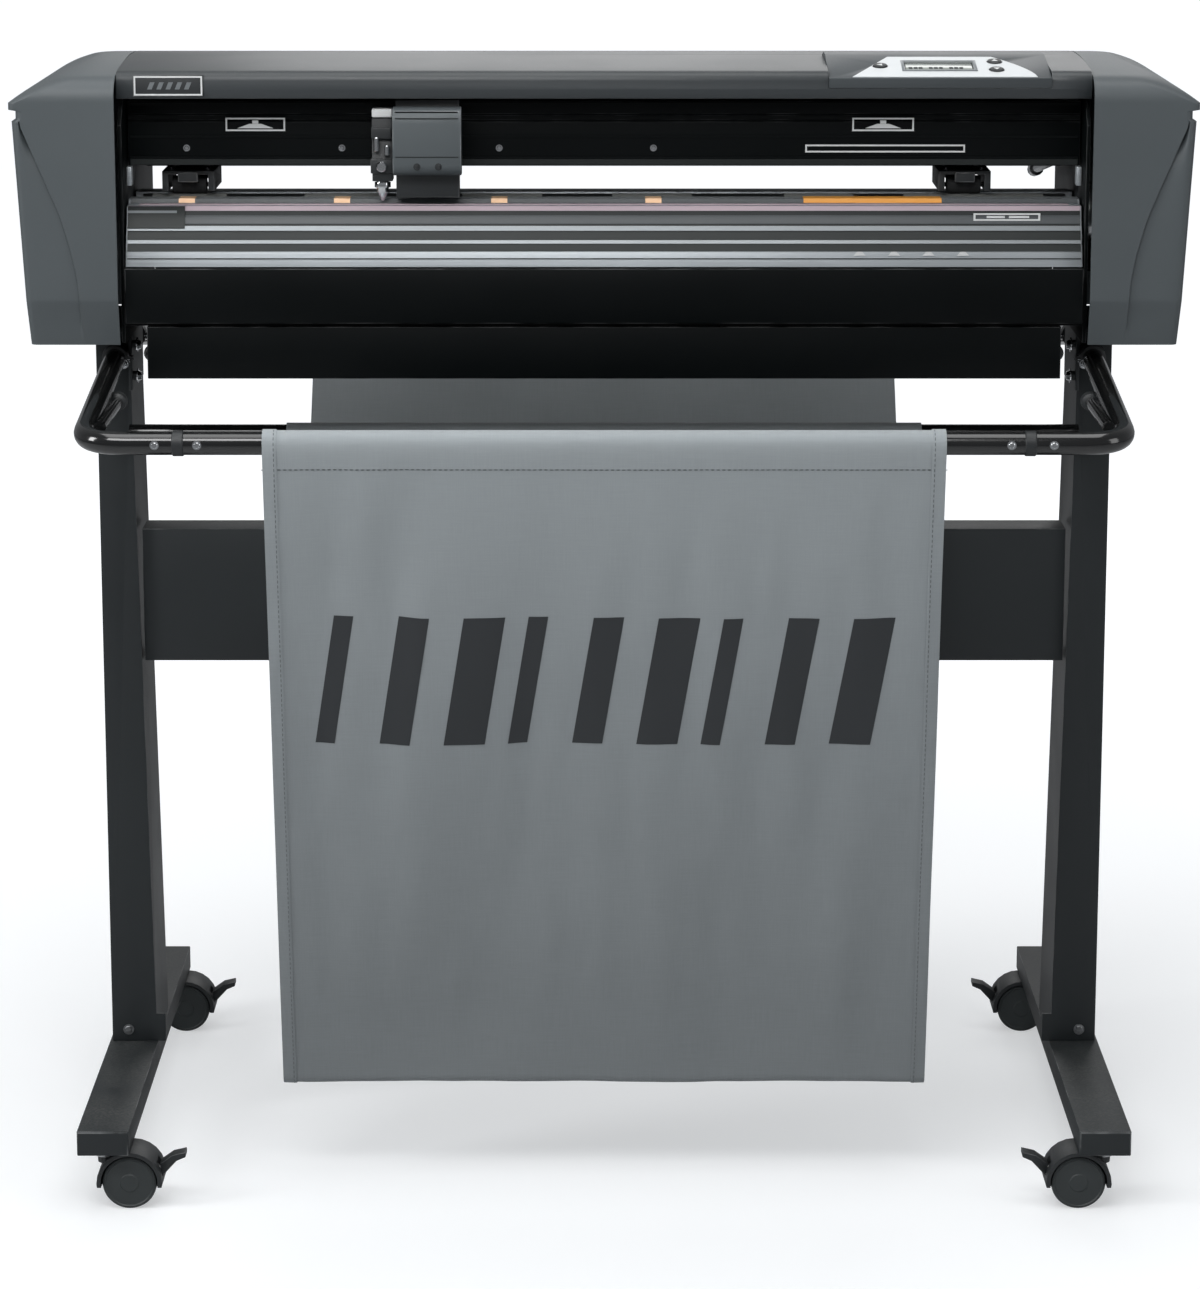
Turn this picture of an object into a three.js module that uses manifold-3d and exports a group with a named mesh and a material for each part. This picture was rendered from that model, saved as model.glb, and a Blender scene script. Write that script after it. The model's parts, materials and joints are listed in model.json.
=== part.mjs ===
// Floor-standing vinyl cutter: a drum-fed cutting head on a caster stand with a cloth media basket.
// Millimetres. +X is the operator's right, +Y the back, +Z up; the origin is on the floor, mid-stand.

import * as THREE from "three";
import { mergeVertices } from "three/addons/utils/BufferGeometryUtils.js";
import Module from "manifold-3d";

const wasm = await Module();
wasm.setup();

// ---- driving dimensions ----
const GAP = 0.3; // clearance kept between touching pieces
const SHEET = 2.5; // folded sheet steel
const ROUND = 24; // sides of a wheel or drum
const SMALL_ROUND = 12; // sides of a pin, tube or key

const COVER_INNER_X = 478; // the covers' mouths, either side of the media path
const COVER_OUTER_X = 582;
const COVER_FRONT_Y = -150;
const HEAD_BOTTOM_Z = 844;
const HEAD_TOP_Z = 1120;
const TURN_UNDER_Z = 889; // below this the covers' faces lean inwards

const LEG_OUTER_X = 517;
const LEG_TOP_WIDTH = 34;
const LEG_BASE_WIDTH = 47;
const LEG_FRONT_Y = -28;
const LEG_BACK_Y = 78;

const FOOT_X = 494.5;
const FOOT_WIDTH = 51;
const FOOT_BOTTOM_Z = 60;
const FOOT_TOP_Z = 85;
const FOOT_HALF_LENGTH = 300;

const CASTER_Y = 270;
const CASTER_TRAIL = 24; // how far the axle trails the stem
const WHEEL_R = 27;
const WHEEL_WIDTH = 15;
const CASTER_WEB = 8; // middle wall that carries the axle and the stem
const HOOD_INNER_R = 28.5;
const HOOD_OUTER_R = 32.5;

const BAR_R = 11; // basket frame tube
const FRAME_X = 494;
const FRAME_Y = 336;
const FRAME_Z = 781;
const FRAME_BEND_R = 42;
const FRAME_JOINT_X = 397;
const ARM_TOP_Z = 821;
const MIDDLE_BAR_R = 9;
const MIDDLE_BAR_Y = -52;
const MIDDLE_BAR_Z = 740;

const CLOTH_HALF_WIDTH = 322;
const CLOTH_THICKNESS = 3;
const SLEEVE_WALL = 2.5;

const BEAM_FRONT_Y = -90;
const BEAM_BACK_Y = 5;
const BEAM_BOTTOM_Z = 1017;
const BEAM_TOP_Z = 1080;
const PATH_HALF_WIDTH = 472; // beam, platen and apron

const DRUM_R = 18;
const DRUM_Y = -55;
const DRUM_Z = 966.6;
const DRUM_GEAR_R = 28;
const PINION_R = 8;
const GEAR_X = 481;
const GEAR_WIDTH = 7;
const PINION_Y = -33.2;
const PINION_Z = 937.4;

const PINCH_R = 9;
const PINCH_Z = DRUM_Z + DRUM_R + GAP + PINCH_R;
const PINCH_PIN_Y = -2;
const PINCH_PIN_Z = 1001;
const PINCH_X = [-415, 360];

const CARRIAGE_LEFT_X = -205;
const CARRIAGE_RIGHT_X = -143;
const TOOL_X = -219;
const TOOL_Y = -106;
const BELT_Y = 35;
const BELT_Z = 1085;
const BELT_WIDTH = 6;
const PULLEY_R = 10;
const PULLEY_X = 450;

const PANEL_LEFT_X = 220;
const PANEL_RIGHT_X = 438;
const PANEL_SLOPE = Math.atan2(17, 76);
const PANEL_FRONT_Y = -136;
const PANEL_FRONT_Z = 1107;

// ---- materials ----
const finish = (color, roughness, metalness) => ({ color, roughness, metalness });
const COVER_PLASTIC = finish(0x5a6063, 0.55, 0);
const DARK_PLASTIC = finish(0x23282a, 0.5, 0);
const BLACK_PAINT = finish(0x2b3032, 0.45, 0.3);
const GLOSS_TUBE = finish(0x101314, 0.2, 0.4);
const BARE_STEEL = finish(0xb8bcbe, 0.3, 1);
const PLATEN_ALUMINIUM = finish(0x9fa6a9, 0.4, 0.9);
const CLOTH = finish(0x7d8386, 0.9, 0);
const RUBBER = finish(0x1c1e1f, 0.8, 0);

const cutter = new THREE.Group();

// ---- solids ----

// A closed geometry as a solid that can be cut and joined.
function solid(geometry) {
  const bare = geometry.index ? geometry.toNonIndexed() : geometry.clone();
  bare.deleteAttribute("normal");
  bare.deleteAttribute("uv");
  const merged = mergeVertices(bare, 1e-4);
  const vertProperties = merged.attributes.position.array;
  const triVerts = new Uint32Array(merged.index.array);
  return new wasm.Manifold(new wasm.Mesh({ numProp: 3, vertProperties, triVerts }));
}

function join(...solids) {
  return solids.reduce((whole, next) => whole.add(next));
}

function cut(whole, ...tools) {
  return tools.reduce((rest, tool) => rest.subtract(tool), whole);
}

// A box between two corners.
function block(x0, x1, y0, y1, z0, z1) {
  const box = new THREE.BoxGeometry(x1 - x0, y1 - y0, z1 - z0);
  box.translate((x0 + x1) / 2, (y0 + y1) / 2, (z0 + z1) / 2);
  return solid(box);
}

// A round bar between two points; the end radius makes a cone.
function rod(from, to, radius, sides = SMALL_ROUND, endRadius = radius) {
  const start = new THREE.Vector3(...from);
  const along = new THREE.Vector3(...to).sub(start);
  const bar = new THREE.CylinderGeometry(endRadius, radius, along.length(), sides);
  const turn = new THREE.Quaternion();
  turn.setFromUnitVectors(new THREE.Vector3(0, 1, 0), along.clone().normalize());
  bar.applyQuaternion(turn);
  bar.translate(...start.addScaledVector(along, 0.5).toArray());
  return solid(bar);
}

function outline(points) {
  return new THREE.Shape(points.map(([a, b]) => new THREE.Vector2(a, b)));
}

// The outline of a sheet of even thickness that follows an open path, mitred at its corners.
function ribbon(path, thickness) {
  const centre = path.getPoints(6).filter((point, i, all) => i === 0 || point.distanceTo(all[i - 1]) > 0.01);
  const offset = (side) =>
    centre.map((point, i) => {
      const into = point.clone().sub(centre[Math.max(i - 1, 0)]).normalize();
      const out = centre[Math.min(i + 1, centre.length - 1)].clone().sub(point).normalize();
      const along = into.clone().add(out).normalize();
      const mitre = i > 0 && i < centre.length - 1 ? along.dot(into) : 1;
      const reach = (side * thickness) / 2 / mitre;
      return point.clone().add(new THREE.Vector2(-along.y, along.x).multiplyScalar(reach));
    });
  return new THREE.Shape([...offset(1), ...offset(-1).reverse()]);
}

// A (y, z) outline pushed along X.
function alongX(shape, x0, x1) {
  const body = new THREE.ExtrudeGeometry(shape, { depth: x1 - x0, bevelEnabled: false, curveSegments: 6 });
  const axes = new THREE.Matrix4().makeBasis(
    new THREE.Vector3(0, 1, 0),
    new THREE.Vector3(0, 0, 1),
    new THREE.Vector3(1, 0, 0),
  );
  body.applyMatrix4(axes);
  body.translate(x0, 0, 0);
  return solid(body);
}

// An (x, z) outline pushed along Y.
function alongY(shape, y0, y1) {
  const body = new THREE.ExtrudeGeometry(shape, { depth: y1 - y0, bevelEnabled: false, curveSegments: 6 });
  body.rotateX(Math.PI / 2);
  body.translate(0, y1, 0);
  return solid(body);
}

// A round tube along a run of straight lines whose corners are bent to a radius.
function bentTube(points, bend, radius, steps) {
  const corners = points.map((point) => new THREE.Vector3(...point));
  const route = new THREE.CurvePath();
  let from = corners[0];
  for (let i = 1; i < corners.length - 1; i++) {
    const into = corners[i].clone().addScaledVector(corners[i - 1].clone().sub(corners[i]).normalize(), bend);
    const out = corners[i].clone().addScaledVector(corners[i + 1].clone().sub(corners[i]).normalize(), bend);
    route.add(new THREE.LineCurve3(from, into));
    route.add(new THREE.QuadraticBezierCurve3(into, corners[i], out));
    from = out;
  }
  route.add(new THREE.LineCurve3(from, corners.at(-1)));
  const ring = new THREE.Shape();
  ring.absarc(0, 0, radius, 0, 2 * Math.PI);
  const tube = new THREE.ExtrudeGeometry(ring, { steps, extrudePath: route, bevelEnabled: false, curveSegments: 6 });
  return solid(tube);
}

// Adds one named piece to the cutter.
function piece(name, body, look) {
  const { vertProperties, triVerts } = body.getMesh();
  const geometry = new THREE.BufferGeometry();
  geometry.setAttribute("position", new THREE.BufferAttribute(vertProperties, 3));
  geometry.setIndex(new THREE.BufferAttribute(triVerts, 1));
  const mesh = new THREE.Mesh(geometry, new THREE.MeshStandardMaterial(look));
  mesh.name = name;
  cutter.add(mesh);
}

function mirrored(body) {
  return body.mirror([1, 0, 0]);
}

function bothSides(name, leftBody, look) {
  piece("left_" + name, leftBody, look);
  piece("right_" + name, mirrored(leftBody), look);
}

// ---- stand ----

// Folded column, open at the back, with the bracket plate and bolt heads that carry the basket arms.
function leftLeg() {
  const topInner = -LEG_OUTER_X + LEG_TOP_WIDTH;
  const baseInner = -LEG_OUTER_X + LEG_BASE_WIDTH;
  const base = FOOT_TOP_Z + GAP;
  const column = outline([
    [-LEG_OUTER_X, base],
    [baseInner, base],
    [topInner, HEAD_BOTTOM_Z],
    [-LEG_OUTER_X, HEAD_BOTTOM_Z],
  ]);
  const hollow = outline([
    [-LEG_OUTER_X + SHEET, base + SHEET],
    [baseInner - SHEET, base + SHEET],
    [topInner - SHEET, HEAD_BOTTOM_Z - SHEET],
    [-LEG_OUTER_X + SHEET, HEAD_BOTTOM_Z - SHEET],
  ]);
  const body = cut(
    alongY(column, LEG_FRONT_Y, LEG_BACK_Y),
    alongY(hollow, LEG_FRONT_Y + SHEET, LEG_BACK_Y + 1),
  );
  const bracket = join(
    block(topInner - 2, topInner + 4, LEG_FRONT_Y + 1, LEG_BACK_Y - 20, 782, HEAD_BOTTOM_Z - 1),
    block(topInner + 0.6, topInner + 4, LEG_FRONT_Y - 14, LEG_FRONT_Y + 2, 782, HEAD_BOTTOM_Z - 1),
  );
  const baseTab = block(baseInner - 2, baseInner + 9, LEG_FRONT_Y, LEG_FRONT_Y + 3, base, base + 30);
  const bolts = [796, 828].map((z) => rod([topInner + 3, -34, z], [topInner + 9, -34, z], 5, 6));
  return join(body, bracket, baseTab, ...bolts);
}

// Rectangular tube with a stem bore near each end.
function leftFoot() {
  const half = FOOT_WIDTH / 2;
  const tube = cut(
    block(-FOOT_X - half, -FOOT_X + half, -FOOT_HALF_LENGTH, FOOT_HALF_LENGTH, FOOT_BOTTOM_Z, FOOT_TOP_Z),
    block(
      -FOOT_X - half + SHEET,
      -FOOT_X + half - SHEET,
      -FOOT_HALF_LENGTH - 1,
      FOOT_HALF_LENGTH + 1,
      FOOT_BOTTOM_Z + SHEET,
      FOOT_TOP_Z - SHEET,
    ),
  );
  const bores = [-CASTER_Y, CASTER_Y].map((y) =>
    rod([-FOOT_X, y, FOOT_BOTTOM_Z - 1], [-FOOT_X, y, FOOT_BOTTOM_Z + 10], 6.2),
  );
  return cut(tube, ...bores);
}

// Folded beam, open at the back, bolted between the legs.
function crossbar() {
  const half = LEG_OUTER_X - LEG_BASE_WIDTH + 5;
  return cut(
    block(-half, half, -20, 26, 495, 634),
    block(-half - 1, half + 1, -20 + SHEET, 27, 495 + SHEET, 634 - SHEET),
  );
}

// Corner arm of the basket frame: rises from the bend to the leg, with a hook rod beneath it.
// side is -1 for the left and 1 for the right; face is -1 for the front and 1 for the rear.
function basketArm(side, face) {
  const root = [side * FRAME_X, face < 0 ? LEG_FRONT_Y - 3 : LEG_BACK_Y + 3, ARM_TOP_Z];
  const corner = [side * FRAME_X, face * FRAME_Y, FRAME_Z];
  const end = [side * (FRAME_JOINT_X + GAP), face * FRAME_Y, FRAME_Z];
  const arm = bentTube([root, corner, end], FRAME_BEND_R, BAR_R, 16);
  const hook = rod([side * 480, face * 296, 789], [side * 480, face * 145, 790], 6, 8);
  const knob = rod([side * 480, face * 150, 790], [side * 480, face * 138, 790], 9, 8);
  return join(arm, hook, knob);
}

function straightBar(face) {
  return rod([-FRAME_JOINT_X, face * FRAME_Y, FRAME_Z], [FRAME_JOINT_X, face * FRAME_Y, FRAME_Z], BAR_R);
}

function middleBar() {
  const half = 481.5;
  return rod([-half, MIDDLE_BAR_Y, MIDDLE_BAR_Z], [half, MIDDLE_BAR_Y, MIDDLE_BAR_Z], MIDDLE_BAR_R);
}

// One cloth slung over three bars: a deep front pocket, then a shallow rear one, with a sleeve on each bar.
function clothBasket() {
  const sheet = new THREE.Path();
  sheet.moveTo(-FRAME_Y - BAR_R, FRAME_Z);
  sheet.lineTo(-217, 124);
  sheet.quadraticCurveTo(-208, 96, -197, 124);
  sheet.lineTo(MIDDLE_BAR_Y, MIDDLE_BAR_Z);
  sheet.lineTo(104, 586);
  sheet.quadraticCurveTo(150, 540, 196, 586);
  sheet.lineTo(FRAME_Y + BAR_R, FRAME_Z);
  const bars = [
    [-FRAME_Y, FRAME_Z, BAR_R],
    [MIDDLE_BAR_Y, MIDDLE_BAR_Z, MIDDLE_BAR_R],
    [FRAME_Y, FRAME_Z, BAR_R],
  ];
  const width = CLOTH_HALF_WIDTH;
  const sleeves = bars.map(([y, z, r]) => rod([-width, y, z], [width, y, z], r + SLEEVE_WALL, 16));
  const bores = bars.map(([y, z, r]) => rod([-width - 1, y, z], [width + 1, y, z], r + 0.6, 16));
  return cut(join(alongX(ribbon(sheet, CLOTH_THICKNESS), -width, width), ...sleeves), ...bores);
}

// ---- casters, built about the stem with the axle trailing along +X ----

// Hood over both wheels, the web between them, and the stem that turns in the foot.
function casterHood() {
  const half = CASTER_WEB / 2 + GAP + WHEEL_WIDTH + 2;
  const hub = [CASTER_TRAIL, 0, WHEEL_R];
  const across = (y, r, sides = ROUND) => rod([hub[0], -y, hub[2]], [hub[0], y, hub[2]], r, sides);
  const dome = cut(
    across(half, HOOD_OUTER_R),
    across(half + 1, HOOD_INNER_R),
    block(-60, 90, -60, 60, -20, WHEEL_R - 4),
  );
  const web = cut(
    across(CASTER_WEB / 2, HOOD_INNER_R + 1),
    block(-60, 90, -60, 60, -20, WHEEL_R - 9),
    across(CASTER_WEB, 4.6, SMALL_ROUND),
  );
  const neck = rod([0, 0, 44], [0, 0, FOOT_BOTTOM_Z - GAP], 9, SMALL_ROUND);
  const stem = rod([0, 0, 50], [0, 0, FOOT_BOTTOM_Z + 14], 5.5, SMALL_ROUND);
  const openings = [-1, 1].map((side) => {
    const near = CASTER_WEB / 2 + 0.01;
    const far = half + 1;
    return rod([hub[0], side * near, hub[2]], [hub[0], side * far, hub[2]], HOOD_INNER_R, ROUND);
  });
  const leverSlot = block(50, 70, -9, 9, 30, 60);
  return cut(join(dome, web, neck, stem), ...openings, leverSlot);
}

// Two wheels on one axle.
function casterWheels() {
  const near = CASTER_WEB / 2 + GAP;
  const far = near + WHEEL_WIDTH;
  const across = (y0, y1, r, sides) => rod([CASTER_TRAIL, y0, WHEEL_R], [CASTER_TRAIL, y1, WHEEL_R], r, sides);
  return join(
    across(-far, -near, WHEEL_R, ROUND),
    across(near, far, WHEEL_R, ROUND),
    across(-far, far, 4, SMALL_ROUND),
  );
}

// Pedal at the trailing end of the hood; pushed down, it brakes the wheels.
function brakeLever() {
  const pedal = new THREE.Shape();
  pedal.moveTo(53.5, 33);
  pedal.lineTo(58, 33);
  pedal.lineTo(70, 46);
  pedal.lineTo(79, 50);
  pedal.lineTo(79, 55);
  pedal.lineTo(66, 52);
  pedal.lineTo(53.5, 43);
  return alongY(pedal, -8, 8);
}

function placedCaster(body, side, end) {
  const turned = side < 0 ? body : body.rotate([0, 0, 180]);
  return turned.translate([side * FOOT_X, end * CASTER_Y, 0]);
}

// ---- head: frame and skins ----

// Side outline of the head, seen from the left: (y, z), with a rounded brow.
function headSide() {
  const shape = new THREE.Shape();
  const back = -COVER_FRONT_Y;
  shape.moveTo(COVER_FRONT_Y + 12, HEAD_BOTTOM_Z);
  shape.lineTo(COVER_FRONT_Y, TURN_UNDER_Z);
  shape.lineTo(COVER_FRONT_Y, 1086);
  shape.quadraticCurveTo(COVER_FRONT_Y + 1, 1105, -130, 1109);
  shape.quadraticCurveTo(-60, HEAD_TOP_Z, 10, HEAD_TOP_Z);
  shape.quadraticCurveTo(110, HEAD_TOP_Z, back - 8, 1090);
  shape.quadraticCurveTo(back, 1080, back, 1060);
  shape.lineTo(back, TURN_UNDER_Z);
  shape.lineTo(back - 12, HEAD_BOTTOM_Z);
  return shape;
}

// Front outline of the left cover: (x, z), with a falling shoulder that ends in a lip over a groove.
function coverFront() {
  const shape = new THREE.Shape();
  shape.moveTo(-COVER_INNER_X - GAP, HEAD_BOTTOM_Z - 1);
  shape.lineTo(-COVER_INNER_X - GAP, HEAD_TOP_Z + 1);
  shape.lineTo(-505, HEAD_TOP_Z + 1);
  shape.quadraticCurveTo(-545, 1112, -COVER_OUTER_X, 1084);
  shape.lineTo(-COVER_OUTER_X, 1077);
  shape.lineTo(-575, 1076);
  shape.lineTo(-575, 1068);
  shape.lineTo(-579, 1066);
  shape.lineTo(-567, HEAD_BOTTOM_Z - 1);
  return shape;
}

// Side cover: a shell open at the inner side and underneath.
function leftCover() {
  const wall = 3;
  const outer = alongY(coverFront(), -200, 200).intersect(alongX(headSide(), -600, -400));
  const middle = (HEAD_BOTTOM_Z + HEAD_TOP_Z) / 2;
  const squeeze = [1, (300 - 2 * wall) / 300, (HEAD_TOP_Z - HEAD_BOTTOM_Z - 2 * wall) / (HEAD_TOP_Z - HEAD_BOTTOM_Z)];
  const inner = outer
    .translate([0, 0, -middle])
    .scale(squeeze)
    .translate([wall, 0, middle]);
  const below = block(-560, -400, -140, 140, HEAD_BOTTOM_Z - 5, HEAD_BOTTOM_Z + 6);
  return cut(outer, inner, below);
}

// Steel chassis: floor, rear wall, end plates that carry the drum and beam, and feet over the legs.
function baseFrame() {
  const plateX = 474;
  const plate = 3.7;
  const floor = block(-plateX, plateX, -134, 141, 862.5, 865);
  const rearWall = block(-plateX, plateX, 140, 143, 862.5, 955);
  const endOutline = outline([
    [-128, HEAD_BOTTOM_Z + 0.5],
    [-128, 1060],
    [-110, 1084],
    [100, 1084],
    [138, 1060],
    [138, HEAD_BOTTOM_Z + 0.5],
  ]);
  const journal = rod([-600, DRUM_Y, DRUM_Z], [600, DRUM_Y, DRUM_Z], 8.8, 16);
  const idlerPin = rod([PULLEY_X, BELT_Y, 1070], [PULLEY_X, BELT_Y, 1090], 3.6);
  const half = [
    alongX(endOutline, plateX, plateX + plate),
    block(plateX, 540, -60, 90, HEAD_BOTTOM_Z + 0.5, 850),
  ];
  const motorShelf = block(plateX, 560, -70, 10, 908, 911);
  const idlerShelf = block(PULLEY_X - 15, plateX + 1, 20, 50, 1074, 1078);
  const carriageMotorShelf = block(-plateX - 1, -PULLEY_X + 22, 12, 58, 1030, 1034);
  const sides = join(...half, ...half.map(mirrored), motorShelf, idlerShelf, carriageMotorShelf);
  return cut(join(floor, rearWall, sides), journal, idlerPin);
}

// Thin shell over the beam, with a window for the control panel.
function topCover() {
  const section = new THREE.Path();
  section.moveTo(-130, 1087);
  section.lineTo(-132, 1096);
  section.lineTo(-132, 1104);
  section.quadraticCurveTo(-131.5, 1111.5, -122, 1112.5);
  section.quadraticCurveTo(-60, 1118.7, 0, 1118.7);
  section.quadraticCurveTo(105, 1118.7, 128, 1100);
  section.quadraticCurveTo(143.7, 1086, 143.7, 1060);
  section.lineTo(143.7, 1003);
  const shell = ribbon(section, SHEET);
  const window = block(PANEL_LEFT_X - GAP, PANEL_RIGHT_X + GAP, -140, -7.6, 1097, 1130);
  return cut(alongX(shell, -COVER_INNER_X + 0.5, COVER_INNER_X - 0.5), window);
}

// Places a shape drawn about the panel's sloping face: x across, u up the slope, h out of it.
function onPanel(body, x, u) {
  return body
    .rotate([(PANEL_SLOPE * 180) / Math.PI, 0, 0])
    .translate([x, PANEL_FRONT_Y + u * Math.cos(PANEL_SLOPE), PANEL_FRONT_Z + u * Math.sin(PANEL_SLOPE)]);
}

const DISPLAY = { x: 330, u: 38, width: 66, height: 26 };
const KEYS = [
  { name: "up_key", x: 386, u: 52 },
  { name: "down_key", x: 386, u: 26 },
  { name: "enter_key", x: 272, u: 38 },
];
const KEY_R = 7;

function controlPanel() {
  const housing = outline([
    [-134, 1097.3],
    [PANEL_FRONT_Y, PANEL_FRONT_Z],
    [-60, 1124],
    [-22, 1124],
    [-8, 1119],
    [-8, 1097.3],
  ]);
  const { x, u, width, height } = DISPLAY;
  const recess = block(-width / 2 - GAP, width / 2 + GAP, -height / 2 - GAP, height / 2 + GAP, -2, 5);
  const keyHoles = KEYS.map((key) => onPanel(rod([0, 0, -7], [0, 0, 5], KEY_R + 0.5, 16), key.x, key.u));
  return cut(alongX(housing, PANEL_LEFT_X, PANEL_RIGHT_X), onPanel(recess, x, u), ...keyHoles);
}

function display() {
  const { x, u, width, height } = DISPLAY;
  return onPanel(block(-width / 2, width / 2, -height / 2, height / 2, -1.7, -0.2), x, u);
}

function key({ x, u }) {
  return onPanel(rod([0, 0, -4.5], [0, 0, 2], KEY_R, 16), x, u);
}

// Hollow aluminium extrusion that the carriage and the pinch brackets run on.
function beam() {
  const section = outline([
    [BEAM_FRONT_Y, BEAM_BOTTOM_Z],
    [BEAM_BACK_Y, BEAM_BOTTOM_Z],
    [BEAM_BACK_Y, BEAM_TOP_Z],
    [BEAM_FRONT_Y, BEAM_TOP_Z],
    [BEAM_FRONT_Y, 1068],
    [BEAM_FRONT_Y + 3, 1066],
    [BEAM_FRONT_Y + 3, 1062],
    [BEAM_FRONT_Y, 1060],
  ]);
  const hollow = block(-500, 500, BEAM_FRONT_Y + 6, BEAM_BACK_Y - 3, BEAM_BOTTOM_Z + 3, BEAM_TOP_Z - 3);
  return cut(alongX(section, -PATH_HALF_WIDTH, PATH_HALF_WIDTH), hollow);
}

// Extruded media table: stepped front slope, strip seat, drum channel and rear slope, one thin wall.
function platen() {
  const section = outline([
    [-135, 921],
    [-124, 952],
    [-116, 968],
    [-114, 979],
    [-98, 979],
    [-96, 984],
    [-76, 984],
    [-76, 946],
    [-34, 946],
    [-34, 984],
    [-20, 984],
    [10, 982],
    [80, 966],
    [132, 940],
    [132, 936.5],
    [80, 962.5],
    [9, 978.7],
    [-20, 980.7],
    [-30.7, 980.7],
    [-30.7, 943],
    [-79.3, 943],
    [-79.3, 980.7],
    [-93.5, 980.7],
    [-95.5, 975.7],
    [-111, 975.7],
    [-113, 967],
    [-121, 951],
    [-131.5, 921],
  ]);
  return alongX(section, -PATH_HALF_WIDTH, PATH_HALF_WIDTH);
}

function cuttingStrip() {
  return block(-460, 460, TOOL_Y - 4, TOOL_Y + 4, 979 + GAP, 980.2);
}

// Folded black front panel below the table.
function apron() {
  const section = outline([
    [-143.5, 866],
    [-143.5, 920.5],
    [-141, 920.5],
    [-141, 868.5],
    [-136, 868.5],
    [-136, 866],
  ]);
  return alongX(section, -PATH_HALF_WIDTH, PATH_HALF_WIDTH);
}

// Open-topped tray under the chassis floor that holds the electronics.
function electronicsTray() {
  const half = 452;
  return cut(
    block(-half, half, -138, 60, 810, 862),
    block(-half + SHEET, half - SHEET, -138 + SHEET, 60 - SHEET, 810 + SHEET, 863),
  );
}

function electronics() {
  const board = block(-200, 140, -110, 30, 818, 820);
  const supply = block(120, 320, -110, 30, 813, 850);
  const sinks = [-150, -60, 30].map((x) => block(x, x + 46, -70, -24, 819, 838));
  return join(board, supply, ...sinks);
}

// Inlet and switch share one moulded housing on the rear wall.
const SWITCH_X = -375;
const SWITCH_Y = 148;
const SWITCH_Z = 902;

function powerInlet() {
  const housing = block(-430, -358, 143.3, 149, 882, 922);
  const socket = block(-424, -398, 146, 150, 893, 911);
  const rockerWell = block(SWITCH_X - 7, SWITCH_X + 7, 144.3, 150, SWITCH_Z - 11.5, SWITCH_Z + 11.5);
  const prongs = [-418, -411, -404].map((x) => block(x - 1, x + 1, 145, 148.6, 899, 905));
  return join(cut(housing, socket, rockerWell), ...prongs);
}

// Rocker, resting on its off side.
function powerSwitch() {
  const rocker = outline([
    [-1.5, -9.5],
    [2.2, -9.5],
    [1.2, 0],
    [2.2, 9.5],
    [-1.5, 9.5],
  ]);
  return alongX(rocker, -6, 6).rotate([-8, 0, 0]).translate([SWITCH_X, SWITCH_Y, SWITCH_Z]);
}

// ---- head: drive and tools ----

// Feed drum with its journals and the gear on its right end.
function drum() {
  const along = (x0, x1, r, sides) => rod([x0, DRUM_Y, DRUM_Z], [x1, DRUM_Y, DRUM_Z], r, sides);
  return join(
    along(-462, 462, DRUM_R, ROUND),
    along(-480, GEAR_X + GEAR_WIDTH, 8, 16),
    along(GEAR_X, GEAR_X + GEAR_WIDTH, DRUM_GEAR_R, 32),
  );
}

function drumMotor() {
  const start = GEAR_X + GEAR_WIDTH + 1.3;
  return rod([start, PINION_Y, PINION_Z], [start + 52, PINION_Y, PINION_Z], 24, 16);
}

function motorPinion() {
  return rod([GEAR_X, PINION_Y, PINION_Z], [GEAR_X + GEAR_WIDTH + 1, PINION_Y, PINION_Z], PINION_R, 16);
}

// Plate that hooks over the beam: the cutting tool in front, the belt clamp behind.
function carriage() {
  return join(
    block(CARRIAGE_LEFT_X, CARRIAGE_RIGHT_X, -117, -91.5, 988, 1084),
    block(CARRIAGE_LEFT_X, CARRIAGE_RIGHT_X, -92, 23, 1081, 1084),
    block(CARRIAGE_LEFT_X + 20, CARRIAGE_RIGHT_X - 20, 20, 23, 1083, 1092),
  );
}

// Rounded cap over the carriage.
function carriageCover() {
  const shape = new THREE.Shape();
  shape.moveTo(-117.6, 1078);
  shape.lineTo(-126, 1078);
  shape.quadraticCurveTo(-137, 1076, -138, 1062);
  shape.lineTo(-138, 1022);
  shape.quadraticCurveTo(-137, 1012, -128, 1011);
  shape.lineTo(-117.6, 1011);
  const cap = alongX(shape, CARRIAGE_LEFT_X - 2.5, CARRIAGE_RIGHT_X + 3);
  const hollow = block(CARRIAGE_LEFT_X, CARRIAGE_RIGHT_X, -134.5, -110, 1015, 1074);
  return cut(cap, hollow);
}

// Sprung block that presses the blade into the media.
function toolHolder() {
  const column = block(TOOL_X - 9.5, TOOL_X + 10.5, TOOL_Y - 12, TOOL_Y + 12, 1004, 1066);
  const cap = block(TOOL_X - 7, TOOL_X + 8, TOOL_Y - 9, TOOL_Y + 9, 1065, 1074);
  const collar = block(TOOL_X - 11, TOOL_X + 11, TOOL_Y - 14, TOOL_Y + 13, 1012, 1026);
  const bore = rod([TOOL_X, TOOL_Y, 995], [TOOL_X, TOOL_Y, 1050], 6.5, 16);
  return cut(join(column, cap, collar), bore);
}

function bladeHolder() {
  return join(
    rod([TOOL_X, TOOL_Y, 992], [TOOL_X, TOOL_Y, 1046], 6, 16),
    rod([TOOL_X, TOOL_Y, 992.1], [TOOL_X, TOOL_Y, 983.6], 6, 16, 1.2),
    rod([TOOL_X, TOOL_Y, 997], [TOOL_X, TOOL_Y, 1002], 8, 16),
  );
}

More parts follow.
